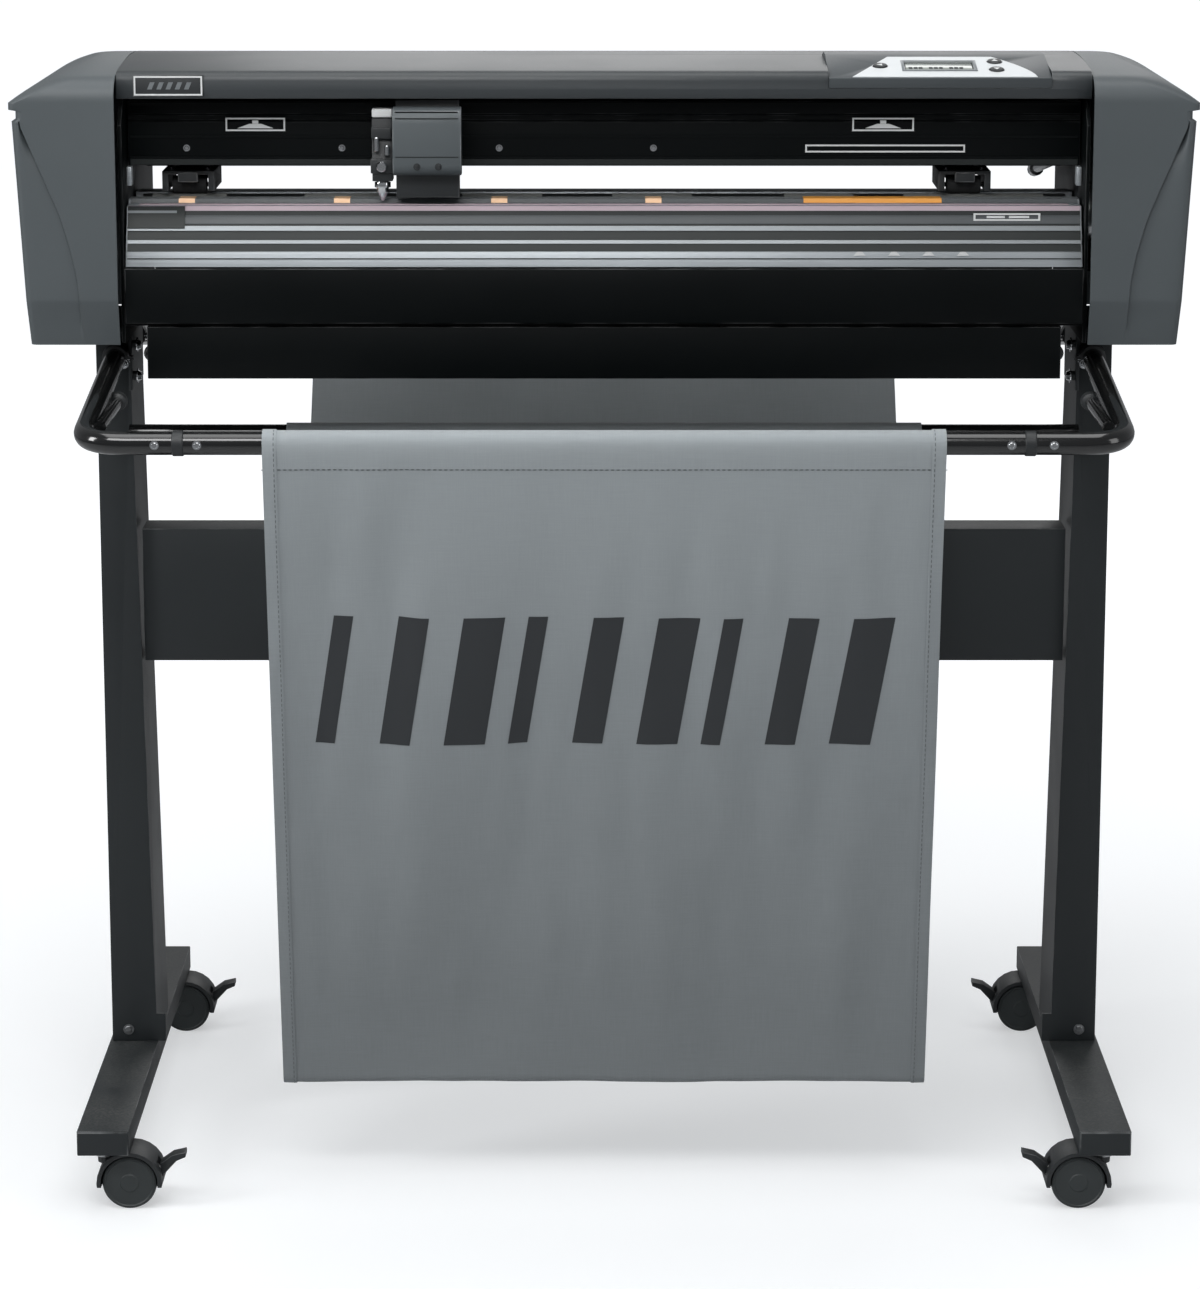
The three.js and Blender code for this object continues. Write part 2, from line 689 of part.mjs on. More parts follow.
function pinchBracket(x) {
  return join(
    block(x - 14, x + 14, -12, 8, 995, BEAM_BOTTOM_Z - 0.6),
    rod([x - 25, PINCH_PIN_Y, PINCH_PIN_Z], [x + 25, PINCH_PIN_Y, PINCH_PIN_Z], 3),
  );
}

function pinchArm(x) {
  const cheek = (x0) => block(x0, x0 + 6, -72, 6, 989, 1009);
  const web = block(x - 26, x + 26, -72, -22, 1005.5, 1009);
  const pinHole = rod([x - 30, PINCH_PIN_Y, PINCH_PIN_Z], [x + 30, PINCH_PIN_Y, PINCH_PIN_Z], 3.6);
  const axleHole = rod([x - 30, DRUM_Y, PINCH_Z], [x + 30, DRUM_Y, PINCH_Z], 3.1);
  return cut(join(cheek(x - 26), cheek(x + 20), web), pinHole, axleHole);
}

function pinchRoller(x) {
  return join(
    rod([x - 17, DRUM_Y, PINCH_Z], [x + 17, DRUM_Y, PINCH_Z], PINCH_R, 20),
    rod([x - 25, DRUM_Y, PINCH_Z], [x + 25, DRUM_Y, PINCH_Z], 2.5),
  );
}

// Lift shaft behind the pinch brackets, with the hand lever out of the back.
function liftShaft() {
  return join(
    rod([-466, 20, 1008], [466, 20, 1008], 4),
    rod([456, 20, 1008], [456, 150, 987], 4.5),
    rod([456, 148, 987.3], [456, 172, 983.5], 7.5),
  );
}

function carriageMotor() {
  return rod([-PULLEY_X, BELT_Y, 1034.4], [-PULLEY_X, BELT_Y, 1080], 20, 16);
}

function beltPulley(x, pinBottom) {
  return join(
    rod([x, BELT_Y, BELT_Z], [x, BELT_Y, BELT_Z + BELT_WIDTH + 1], PULLEY_R, 20),
    rod([x, BELT_Y, pinBottom], [x, BELT_Y, BELT_Z + 1], 3),
  );
}

function carriageBelt() {
  const inner = PULLEY_R + GAP;
  const outer = inner + 1.3;
  const loop = new THREE.Shape();
  const hole = new THREE.Path();
  for (const [path, radius] of [
    [loop, outer],
    [hole, inner],
  ]) {
    path.absarc(PULLEY_X, BELT_Y, radius, -Math.PI / 2, Math.PI / 2);
    path.absarc(-PULLEY_X, BELT_Y, radius, Math.PI / 2, (3 * Math.PI) / 2);
  }
  loop.holes.push(hole);
  const belt = new THREE.ExtrudeGeometry(loop, { depth: BELT_WIDTH, bevelEnabled: false, curveSegments: 8 });
  belt.translate(0, 0, BELT_Z);
  return solid(belt);
}

// ---- assembly ----

bothSides("leg", leftLeg(), BLACK_PAINT);
bothSides("foot", leftFoot(), BLACK_PAINT);
piece("crossbar", crossbar(), BLACK_PAINT);
piece("middle_bar", middleBar(), GLOSS_TUBE);
piece("front_bar", straightBar(-1), GLOSS_TUBE);
piece("rear_bar", straightBar(1), GLOSS_TUBE);
piece("left_front_arm", basketArm(-1, -1), GLOSS_TUBE);
piece("right_front_arm", basketArm(1, -1), GLOSS_TUBE);
piece("left_rear_arm", basketArm(-1, 1), GLOSS_TUBE);
piece("right_rear_arm", basketArm(1, 1), GLOSS_TUBE);
piece("cloth_basket", clothBasket(), CLOTH);

for (const [sideName, side] of [
  ["left", -1],
  ["right", 1],
]) {
  for (const [endName, end] of [
    ["front", -1],
    ["rear", 1],
  ]) {
    const place = endName + "_" + sideName + "_caster_";
    piece(place + "hood", placedCaster(casterHood(), side, end), DARK_PLASTIC);
    piece(place + "wheels", placedCaster(casterWheels(), side, end), RUBBER);
    piece(place + "brake", placedCaster(brakeLever(), side, end), DARK_PLASTIC);
  }
}

piece("base_frame", baseFrame(), BARE_STEEL);
bothSides("cover", leftCover(), COVER_PLASTIC);
piece("top_cover", topCover(), COVER_PLASTIC);
piece("control_panel", controlPanel(), DARK_PLASTIC);
piece("display", display(), finish(0x8c9a8c, 0.15, 0));
for (const each of KEYS) piece(each.name, key(each), DARK_PLASTIC);
piece("beam", beam(), BLACK_PAINT);
piece("platen", platen(), PLATEN_ALUMINIUM);
piece("cutting_strip", cuttingStrip(), finish(0xa59ea1, 0.7, 0));
piece("apron", apron(), BLACK_PAINT);
piece("electronics_tray", electronicsTray(), BLACK_PAINT);
piece("electronics", electronics(), finish(0x2f6b45, 0.5, 0.2));
piece("power_inlet", powerInlet(), DARK_PLASTIC);
piece("power_switch", powerSwitch(), RUBBER);
piece("drum", drum(), BARE_STEEL);
piece("drum_motor", drumMotor(), BLACK_PAINT);
piece("motor_pinion", motorPinion(), BARE_STEEL);
piece("carriage", carriage(), DARK_PLASTIC);
piece("carriage_cover", carriageCover(), COVER_PLASTIC);
piece("tool_holder", toolHolder(), DARK_PLASTIC);
piece("blade_holder", bladeHolder(), BARE_STEEL);
PINCH_X.forEach((x, i) => {
  const side = ["left_", "right_"][i];
  piece(side + "pinch_bracket", pinchBracket(x), DARK_PLASTIC);
  piece(side + "pinch_arm", pinchArm(x), DARK_PLASTIC);
  piece(side + "pinch_roller", pinchRoller(x), RUBBER);
});
piece("lift_shaft", liftShaft(), BARE_STEEL);
piece("carriage_motor", carriageMotor(), BLACK_PAINT);
piece("drive_pulley", beltPulley(-PULLEY_X, 1080.5), BARE_STEEL);
piece("idler_pulley", beltPulley(PULLEY_X, 1070), BARE_STEEL);
piece("carriage_belt", carriageBelt(), RUBBER);

export default cutter;
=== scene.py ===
import json
import math

import bmesh
import bpy
from mathutils import Matrix, Vector, noise


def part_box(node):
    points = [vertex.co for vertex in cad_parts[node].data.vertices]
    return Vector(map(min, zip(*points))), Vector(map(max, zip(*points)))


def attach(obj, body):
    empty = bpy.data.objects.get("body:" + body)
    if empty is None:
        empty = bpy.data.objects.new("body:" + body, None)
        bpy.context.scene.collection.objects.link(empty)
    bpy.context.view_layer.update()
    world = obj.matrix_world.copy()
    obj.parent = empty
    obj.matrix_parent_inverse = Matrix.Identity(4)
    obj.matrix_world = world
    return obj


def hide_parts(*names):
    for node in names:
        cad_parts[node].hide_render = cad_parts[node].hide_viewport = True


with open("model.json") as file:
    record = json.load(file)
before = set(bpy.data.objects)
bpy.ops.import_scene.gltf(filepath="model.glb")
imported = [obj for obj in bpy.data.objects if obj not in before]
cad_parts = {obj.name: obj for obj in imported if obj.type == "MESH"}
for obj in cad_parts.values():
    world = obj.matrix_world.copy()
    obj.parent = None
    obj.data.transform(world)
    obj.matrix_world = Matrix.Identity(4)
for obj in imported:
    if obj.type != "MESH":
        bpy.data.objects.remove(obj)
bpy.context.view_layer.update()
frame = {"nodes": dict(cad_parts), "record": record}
nodes = frame["nodes"]
record = frame["record"]
slot_of = {part["node"]: part["material_slot"] for part in record["subparts"]}
body_of = {node: body for body, members in record["behaviour"]["bodies"].items() for node in members}

MM = 0.001
SIDES = {"left": -1, "right": 1}
ENDS = {"front": -1, "rear": 1}
EASED_EDGE = "eased_edge"  # 1 on the faces of an eased edge

CAMERA_PLACE = (-0.004, -4.0, 1.45)
CAMERA_TILT = 11.02  # degrees below level
SKY_LIGHT = 0.24
SKY_SEEN = 1.06
FLOOR_HALF = 9
FLOOR_NEAR, FLOOR_FAR = 0.6, 3.0  # the floor's painted glow, seen only by the camera, grows between these distances, so it is painted darker near the stand
LIGHTS = {  # place, aim, size and power
    "top_softbox": ((0, -0.3, 3.4), (0, 0, 0.8), (3.0, 2.0), 46),
    "front_softbox": ((-0.4, -1.6, 2.1), (0, -0.3, 0.9), (1.8, 0.6), 24),
    "left_softbox": ((-3.2, -1.3, 2.1), (0, 0, 0.8), (0.8, 1.6), 44),
    "right_softbox": ((3.4, -1.9, 1.6), (0, 0, 0.7), (1.2, 2.2), 18),
    "rear_softbox": ((0.4, 3.2, 2.4), (0, 0, 0.9), (2.6, 1.6), 24),
}


def link(obj):
    bpy.context.scene.collection.objects.link(obj)
    return obj


# ---- node helpers ----


def wire(tree, value, socket):
    if isinstance(value, bpy.types.NodeSocket):
        tree.links.new(value, socket)
    else:
        socket.default_value = value


def add_node(tree, kind, inputs=None, **settings):
    """Adds a node, sets it up, and wires or sets the inputs given by name or number."""
    node = tree.nodes.new(kind)
    for label, value in settings.items():
        setattr(node, label, value)
    for label, value in (inputs or {}).items():
        wire(tree, value, node.inputs[label])
    return node


def calc(tree, operation, *values, clamp=False):
    inputs = dict(enumerate(values))
    return add_node(tree, "ShaderNodeMath", inputs, operation=operation, use_clamp=clamp).outputs[0]


def times(tree, first, second, clamp=False):
    return calc(tree, "MULTIPLY", first, second, clamp=clamp)


def weighed(tree, first, share, second, other_share, clamp=False):
    """The sum of two values, each times its share."""
    return calc(tree, "ADD", times(tree, first, share), times(tree, second, other_share), clamp=clamp)


def noise_texture(tree, vector, scale, detail=2.0, roughness=0.5):
    inputs = {"Vector": vector, "Scale": scale, "Detail": detail, "Roughness": roughness}
    return add_node(tree, "ShaderNodeTexNoise", inputs).outputs["Fac"]


def spread(tree, value, low, high, to_low=0.0, to_high=1.0):
    inputs = {"Value": value, "From Min": low, "From Max": high, "To Min": to_low, "To Max": to_high}
    return add_node(tree, "ShaderNodeMapRange", inputs).outputs["Result"]


def stretch(tree, vector, scale):
    return add_node(tree, "ShaderNodeVectorMath", {0: vector, 1: scale}, operation="MULTIPLY").outputs[0]


def split_axes(tree, vector):
    return add_node(tree, "ShaderNodeSeparateXYZ", {0: vector}).outputs


def camera_ray(tree):
    return add_node(tree, "ShaderNodeLightPath").outputs["Is Camera Ray"]


# ---- camera, light and floor ----


def camera():
    lens = bpy.data.cameras.new("camera")
    lens.lens = 110.3
    lens.sensor_width = 36
    lens.shift_y = -0.12
    seen = link(bpy.data.objects.new("camera", lens))
    seen.location = CAMERA_PLACE
    seen.rotation_euler = (math.radians(90 - CAMERA_TILT), 0, 0)
    bpy.context.scene.camera = seen


def studio():
    for name, (place, aim, size, power) in LIGHTS.items():
        lamp = bpy.data.lights.new(name, "AREA")
        lamp.shape = "RECTANGLE"
        lamp.size, lamp.size_y = size
        lamp.energy = power
        placed = link(bpy.data.objects.new(name, lamp))
        placed.location = place
        placed.rotation_euler = (Vector(aim) - Vector(place)).to_track_quat("-Z", "Y").to_euler()
    world = bpy.data.worlds.new("studio")
    world.use_nodes = True
    tree = world.node_tree
    sky = tree.nodes["Background"]
    sky.inputs["Color"].default_value = (0.95, 0.97, 1.0, 1)
    tree.links.new(spread(tree, camera_ray(tree), 0.0, 1.0, SKY_LIGHT, SKY_SEEN), sky.inputs["Strength"])
    bpy.context.scene.world = world
    bpy.context.scene.view_settings.view_transform = "Standard"


def floor():
    mesh = bpy.data.meshes.new("floor")
    corners = [(x * FLOOR_HALF, y * FLOOR_HALF, 0) for x, y in ((-1, -1), (1, -1), (1, 1), (-1, 1))]
    mesh.from_pydata(corners, [], [(0, 1, 2, 3)])
    ground = link(bpy.data.objects.new("floor", mesh))
    paper = bpy.data.materials.new("floor_paper")
    paper.use_nodes = True
    tree = paper.node_tree
    surface = tree.nodes["Principled BSDF"].inputs
    surface["Base Color"].default_value = (0.55, 0.56, 0.57, 1)
    surface["Roughness"].default_value = 0.75
    surface["Emission Color"].default_value = (0.97, 0.985, 1.0, 1)
    place = add_node(tree, "ShaderNodeTexCoord").outputs["Object"]
    reach = add_node(tree, "ShaderNodeVectorMath", {0: place}, operation="LENGTH").outputs["Value"]
    # painted light: the floor glows for the camera only, dimmer near the stand and brighter far from it
    painted_glow = times(tree, spread(tree, reach, FLOOR_NEAR, FLOOR_FAR, 0.46, 0.9), camera_ray(tree))
    tree.links.new(painted_glow, surface["Emission Strength"])
    mesh.materials.append(paper)


# ---- effects shared by the finishes ----


def effect(name, inputs, build):
    """A shader node group with named sockets, whose outputs build makes from its inputs."""
    tree = bpy.data.node_groups.new(name, "ShaderNodeTree")
    for label, value in {"Vector": None, **inputs}.items():
        kind = "NodeSocketFloat" if isinstance(value, float) else "NodeSocketVector"
        socket = tree.interface.new_socket(label, in_out="INPUT", socket_type=kind)
        if value is not None:
            socket.default_value = value
    made = build(tree, tree.nodes.new("NodeGroupInput").outputs)
    for label in made:
        tree.interface.new_socket(label, in_out="OUTPUT", socket_type="NodeSocketFloat")
    add_node(tree, "NodeGroupOutput", made)
    return tree


def grain(tree, given):
    """Moulded or sprayed grain: fine pimples over a slow drift of tone."""
    vector, scale = given["Vector"], given["Scale"]
    fine = noise_texture(tree, vector, scale, 2.0, 0.6)
    coarse = noise_texture(tree, vector, times(tree, scale, 0.33), 1.0)
    slow = noise_texture(tree, vector, given["Drift"], 3.0, 0.55)
    shade = weighed(tree, slow, 0.75, fine, 0.25, clamp=True)
    return {"Height": weighed(tree, fine, 0.6, coarse, 0.4), "Shade": shade}


def edge_wear(tree, given):
    """Rubbing on the eased edges, broken up so it comes and goes."""
    edge = add_node(tree, "ShaderNodeAttribute", attribute_name=EASED_EDGE).outputs["Fac"]
    patches = spread(tree, noise_texture(tree, given["Vector"], given["Patch"], 3.0), 0.42, 0.64)
    return {"Mask": times(tree, times(tree, edge, patches), given["Amount"], clamp=True)}


def settled_dust(tree, given):
    """Dust on faces that look up, thicker in slow patches."""
    normal = add_node(tree, "ShaderNodeNewGeometry").outputs["Normal"]
    upward = spread(tree, split_axes(tree, normal)["Z"], 0.55, 1.0)
    patches = spread(tree, noise_texture(tree, given["Vector"], 14.0, 4.0, 0.6), 0.25, 0.8)
    specks = spread(tree, noise_texture(tree, given["Vector"], 420.0, 1.0), 0.3, 0.75)
    layer = times(tree, times(tree, upward, patches), specks)
    return {"Mask": times(tree, layer, given["Amount"], clamp=True)}


def drawn_lines(tree, given):
    """Fine lines left by drawing or brushing along one axis."""
    lines = noise_texture(tree, stretch(tree, given["Vector"], given["Across"]), 1.0, 3.0, 0.7)
    smear = noise_texture(tree, given["Vector"], 9.0, 2.0)
    return {"Height": lines, "Shade": weighed(tree, lines, 0.7, smear, 0.3, clamp=True)}


def plain_weave(tree, given):
    """Threads over and under each other, with slubs, slow creases of tone, and painted light and shade: lighter near
    the front sleeve, darker towards the pocket and past it.
    """
    vector, threads, painted_shade_amount = given["Vector"], given["Threads"], given["Fade"]
    place = split_axes(tree, vector)
    turns = times(tree, threads, math.pi)
    warp, weft = (
        calc(tree, "ABSOLUTE", calc(tree, "SINE", times(tree, place[axis], turns))) for axis in ("X", "Y")
    )
    over = add_node(tree, "ShaderNodeTexChecker", {"Vector": vector, "Scale": threads}).outputs["Fac"]
    under = calc(tree, "SUBTRACT", 1.0, over)
    slub_along = noise_texture(tree, stretch(tree, vector, (30.0, 900.0, 1.0)), 1.0, 2.0)
    slub_across = noise_texture(tree, stretch(tree, vector, (900.0, 30.0, 1.0)), 1.0, 2.0)
    slow = noise_texture(tree, vector, 7.0, 3.0)
    slubs = calc(tree, "ADD", slub_along, slub_across)
    slight = times(tree, weighed(tree, slubs, 0.35, slow, 0.3), 0.5)
    # painted light and shade: the cloth's tone falls along the run from the front sleeve to the pocket, and stays low
    # after it
    painted_shade_ramp = spread(tree, place["Y"], 0.05, 0.66, painted_shade_amount, times(tree, painted_shade_amount, -1))
    shade = calc(tree, "ADD", calc(tree, "ADD", slight, 0.25), painted_shade_ramp, clamp=True)
    return {"Height": weighed(tree, warp, over, weft, under), "Shade": shade}


EFFECTS = {
    "grain": effect("grain", {"Scale": 1500.0, "Drift": 6.0}, grain),
    "wear": effect("edge_wear", {"Amount": 0.5, "Patch": 30.0}, edge_wear),
    "dust": effect("dust", {"Amount": 0.2}, settled_dust),
    "drawn": effect("drawn_lines", {"Across": (6.0, 900.0, 900.0)}, drawn_lines),
    # Painted Shade: how far the cloth is painted lighter near the front sleeve and darker from the pocket on
    "weave": effect("plain_weave", {"Threads": 1250.0, "Fade": 0.3}, plain_weave),
}


# ---- finishes ----


def srgb(red, green, blue):
    """A colour given as 0 to 255 screen values, in linear light."""
    values = [value / 255 for value in (red, green, blue)]
    return tuple(v / 12.92 if v <= 0.04045 else ((v + 0.055) / 1.055) ** 2.4 for v in values) + (1.0,)


def blended(tree, factor, first, second):
    inputs = {"Factor": factor, "A": first, "B": second}
    return add_node(tree, "ShaderNodeMix", inputs, data_type="RGBA").outputs["Result"]


def placed_effect(tree, name, vector, **values):
    return add_node(tree, "ShaderNodeGroup", {"Vector": vector, **values}, node_tree=EFFECTS[name]).outputs


def tinted(colour, factor):
    return tuple(min(1.0, value * factor) for value in colour[:3]) + (1.0,)


GLOSS_SWING = 0.08
RUBBED_COLOUR = (0.45, 0.46, 0.47, 1.0)
DUST_COLOUR = srgb(168, 166, 160)


def finish(
    name, colour, roughness, metallic=0.0, pattern="grain", values=None, relief=0.0002, strength=0.2,
    contrast=0.25, wear=0.0, dust=0.0, coordinates="Object", **shader,
):
    """A material whose tone, gloss and relief come from one pattern, with optional rubbed edges and dust."""
    material = bpy.data.materials.new(name)
    material.use_nodes = True
    tree = material.node_tree
    surface = tree.nodes["Principled BSDF"].inputs
    vector = add_node(tree, "ShaderNodeTexCoord").outputs[coordinates]
    texture = placed_effect(tree, pattern, vector, **values)
    shade = texture["Shade"]
    colour = srgb(*colour)
    base = blended(tree, shade, tinted(colour, 1 - contrast), tinted(colour, 1 + contrast))
    smoothest, roughest = max(roughness - GLOSS_SWING, 0.04), min(roughness + GLOSS_SWING, 1.0)
    gloss = spread(tree, shade, 0.2, 0.8, smoothest, roughest)
    if wear:
        base = blended(tree, placed_effect(tree, "wear", vector, Amount=wear)["Mask"], base, RUBBED_COLOUR)
    if dust:
        settled = placed_effect(tree, "dust", vector, Amount=dust)["Mask"]
        base = blended(tree, settled, base, DUST_COLOUR)
        gloss = calc(tree, "ADD", gloss, times(tree, settled, 0.3), clamp=True)
    bump = add_node(tree, "ShaderNodeBump", {"Strength": strength, "Distance": relief, "Height": texture["Height"]})
    tree.links.new(bump.outputs["Normal"], surface["Normal"])
    tree.links.new(base, surface["Base Color"])
    tree.links.new(gloss, surface["Roughness"])
    surface["Metallic"].default_value = metallic
    for label, value in shader.items():
        surface[label.replace("_", " ")].default_value = value
    return material


MOULDED = {"values": {"Scale": 1300.0, "Drift": 5.0}}
SPRAYED = {"values": {"Scale": 2200.0, "Drift": 7.0}}
FINE = {"values": {"Scale": 3000.0, "Drift": 12.0}}
ALONG_X = {"pattern": "drawn", "values": {"Across": (5.0, 1100.0, 1100.0)}}
ALL_WAYS = {"pattern": "drawn", "values": {"Across": (420.0, 420.0, 420.0)}}
WOVEN = {"pattern": "weave", "values": {}, "coordinates": "UV"}

FINISHES = {  # colour, roughness, pattern and the rest
    "cover_plastic": ((74, 80, 83), 0.5, MOULDED, dict(strength=0.35, contrast=0.12, wear=0.25, dust=0.12)),
    "black_plastic": ((34, 37, 39), 0.5, MOULDED, dict(wear=0.25, dust=0.1)),
    "panel_plastic": ((62, 67, 70), 0.45, MOULDED, dict(contrast=0.15, dust=0.08)),
    "stand_paint": (
        (36, 40, 42), 0.5, SPRAYED,
        dict(strength=0.4, contrast=0.15, wear=0.3, dust=0.15, Specular_IOR_Level=0.35),
    ),
    "head_paint": (
        (6, 9, 10), 0.42, SPRAYED, dict(contrast=0.3, wear=0.12, dust=0.04, Specular_IOR_Level=0.12)
    ),
    "tube_paint": ((12, 13, 14), 0.16, FINE, dict(strength=0.08, wear=0.2, dust=0.06, Coat_Weight=0.6)),
    "steel": ((176, 178, 180), 0.32, ALONG_X, dict(metallic=1.0, contrast=0.2)),
    "platen_aluminium": ((178, 184, 188), 0.4, ALONG_X, dict(metallic=0.7)),
    "strip": ((176, 160, 168), 0.6, FINE, dict(contrast=0.15, dust=0.1)),
    "roller_rubber": ((28, 29, 30), 0.8, MOULDED, dict(contrast=0.3, dust=0.12)),
    "wheel_plastic": ((46, 51, 52), 0.5, MOULDED, dict(wear=0.4, dust=0.25)),
    "display_glass": ((150, 156, 150), 0.12, FINE, dict(strength=0.02, contrast=0.08, Coat_Weight=0.7)),
    "circuit": ((24, 74, 48), 0.4, FINE, dict(contrast=0.3)),
    "chrome": ((214, 216, 218), 0.12, ALL_WAYS, dict(metallic=1.0, strength=0.05, contrast=0.08)),
    "cloth": (
        (138, 144, 147), 0.88, WOVEN,
        dict(relief=0.0003, strength=0.5, contrast=0.36, Sheen_Weight=0.25, Sheen_Roughness=0.5),
    ),
    "top_plastic": (
        (42, 47, 50), 0.5, MOULDED,
        dict(strength=0.25, contrast=0.1, wear=0.2, dust=0.12, Coat_Weight=0.3, Coat_Roughness=0.35),
    ),
    "grit": ((112, 114, 112), 0.75, SPRAYED, dict(metallic=0.4, relief=0.0004, strength=0.8, contrast=0.4)),
    "thread": ((96, 101, 104), 0.8, FINE, dict(contrast=0.2)),
    "ink": ((44, 47, 50), 0.8, MOULDED, dict(strength=0.3, contrast=0.15)),
    "label_white": ((206, 208, 208), 0.5, FINE, dict(contrast=0.06)),
    "marker_copper": ((224, 184, 146), 0.45, FINE, dict(metallic=0.1, contrast=0.15)),
    "strip_orange": ((222, 152, 60), 0.5, FINE, dict(contrast=0.1)),
    "panel_light": ((204, 208, 210), 0.4, ALONG_X, dict(metallic=0.1, strength=0.08, contrast=0.08)),
    "panel_silver": ((128, 133, 136), 0.36, ALONG_X, dict(metallic=0.5, strength=0.1, contrast=0.12)),
    "groove_dark": ((26, 31, 31), 0.5, ALONG_X, dict(metallic=0.3, strength=0.1, contrast=0.3)),
}
finishes = {
    name: finish(name, colour, roughness, **pattern, **rest)
    for name, (colour, roughness, pattern, rest) in FINISHES.items()
}
for material in record["materials"]:
    assert material["slot"] in finishes, material["slot"]


# ---- making pieces ----


def plain(obj):
    """Turns an object with modifiers into a plain mesh at the origin."""
    seen = bpy.context.evaluated_depsgraph_get()
    seen.update()
    mesh = bpy.data.meshes.new_from_object(obj.evaluated_get(seen))
    obj.modifiers.clear()
    obj.data = mesh
    return obj


def settle(obj, body, slot, replaced=(), material=None):
    """Gives a finished piece its material, the finish of its slot unless another is named, and its body."""
    obj.data.materials.clear()
    obj.data.materials.append(finishes[material or slot])
    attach(obj, body)
    if replaced:
        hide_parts(*replaced)
    return obj


def smooth_with_edges(mesh, angle=32):
    mesh.polygons.foreach_set("use_smooth", [True] * len(mesh.polygons))
    mesh.set_sharp_from_angle(angle=math.radians(angle))


def object_of(name, form):
    mesh = bpy.data.meshes.new(name)
    form.to_mesh(mesh)
    form.free()
    return link(bpy.data.objects.new(name, mesh))


def walled(name, form, thickness, offset, smooth):
    """Gives an open form a wall and keeps it as a plain object."""
    obj = object_of(name, form)
    wall = obj.modifiers.new("wall", "SOLIDIFY")
    wall.thickness = thickness * MM
    wall.offset = offset
    plain(obj)
    smooth_with_edges(obj.data, smooth)
    return obj


def made_piece(name, form, body, slot, replaced=(), material=None, smooth=32):
    """Turns a form into a finished piece."""
    obj = object_of(name, form)
    smooth_with_edges(obj.data, smooth)
    return settle(obj, body, slot, replaced, material)


def merged(source):
    """A copy of a node's mesh with its triangles joined and its flat faces made whole."""
    form = bmesh.new()
    form.from_mesh(source)
    bmesh.ops.remove_doubles(form, verts=form.verts, dist=1e-6)
    bmesh.ops.dissolve_limit(form, angle_limit=math.radians(0.6), verts=form.verts, edges=form.edges)
    return form


def ease(form, width, segments=2, angle=28):
    """Rounds the sharp edges of a form and marks the new faces."""
    mark = form.faces.layers.float.get(EASED_EDGE) or form.faces.layers.float.new(EASED_EDGE)
    sharp = [e for e in form.edges if len(e.link_faces) == 2 and e.calc_face_angle() > math.radians(angle)]
    made = bmesh.ops.bevel(
        form, geom=sharp, offset=width * MM, segments=segments, profile=0.5, affect="EDGES", clamp_overlap=True
    )
    for face in made["faces"]:
        face[mark] = 1.0


def refined(node, edge=0.5, material=None):
    """A node's shape with its edges eased, in its own slot's finish."""
    form = merged(nodes[node].data)
    ease(form, edge)
    return made_piece(node + "_piece", form, body_of[node], slot_of[node], [node], material)


def box_of(node):
    """A node's corners in millimetres."""
    low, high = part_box(node)
    return low / MM, high / MM


def ring(sides):
    return [2 * math.pi * k / sides for k in range(sides)]


def add_grid(form, rows, closed=False):
    """Adds a surface through rows of points; closed joins each row's end to its start."""
    made = [[form.verts.new(Vector(point) * MM) for point in row] for row in rows]
    width = len(made[0])
    for lower, upper in zip(made, made[1:]):
        for i in range(width if closed else width - 1):
            form.faces.new((lower[i], lower[(i + 1) % width], upper[(i + 1) % width], upper[i]))
    return made


def add_rings(form, rows):
    """Adds a surface through rings of points, with both ends closed."""
    made = add_grid(form, rows, closed=True)
    form.faces.new(list(reversed(made[0])))
    form.faces.new(made[-1])


def add_block(form, low, high):
    """Adds a box between two corners."""
    centre = (Vector(low) + Vector(high)) / 2
    size = Vector(high) - Vector(low)
    place = Matrix.Translation(centre * MM) @ Matrix.Diagonal((*(size * MM), 1))
    bmesh.ops.create_cube(form, size=1, matrix=place)


def block_piece(name, low, high, edge, segments, body, slot, material=None):
    form = bmesh.new()
    add_block(form, low, high)
    ease(form, edge, segments)
    return made_piece(name, form, body, slot, (), material)


def add_lathe(form, outline, centre, axis, sides=32):
    """Turns (radius, height) points about an axis through a centre and closes both ends."""
    turn = Vector(axis).to_track_quat("Z", "Y").to_matrix()
    rows = []
    for radius, height in outline:
        circle = [Vector((radius * math.cos(a), radius * math.sin(a), height)) for a in ring(sides)]
        rows.append([Vector(centre) + turn @ point for point in circle])
    add_rings(form, rows)


def add_tube(form, path, radius, sides=28):
    """Adds a round tube along a path of points, closed at both ends."""
    points = [Vector(point) for point in path]
    rows = []
    across = None
    for i, point in enumerate(points):
        along = (points[min(i + 1, len(points) - 1)] - points[max(i - 1, 0)]).normalized()
        across = across or along.orthogonal().normalized()
        across = (across - along * across.dot(along)).normalized()
        other = along.cross(across)
        rows.append([point + (across * math.cos(a) + other * math.sin(a)) * radius for a in ring(sides)])
    add_rings(form, rows)


def bent(points, radius, steps=10):
    """A path of straight runs whose corners are rounded."""
    corners = [Vector(point) for point in points]
    path = [corners[0]]
    for before, corner, after in zip(corners, corners[1:], corners[2:]):
        into = corner + (before - corner).normalized() * radius
        out = corner + (after - corner).normalized() * radius
        for k in range(steps + 1):
            t = k / steps
            path.append(into * (1 - t) ** 2 + corner * 2 * t * (1 - t) + out * t * t)
    return path + [corners[-1]]


def outward(form):
    bmesh.ops.remove_doubles(form, verts=form.verts, dist=1e-7)
    bmesh.ops.recalc_face_normals(form, faces=form.faces)


def between(table, value):
    """Reads a table of (key, value) rows whose keys rise, in straight lines."""
    if value <= table[0][0]:
        return table[0][1]
    for (low, a), (high, b) in zip(table, table[1:]):
        if value <= high:
            return a + (b - a) * (value - low) / (high - low)
    return table[-1][1]


# ---- repeated pieces by Geometry Nodes ----


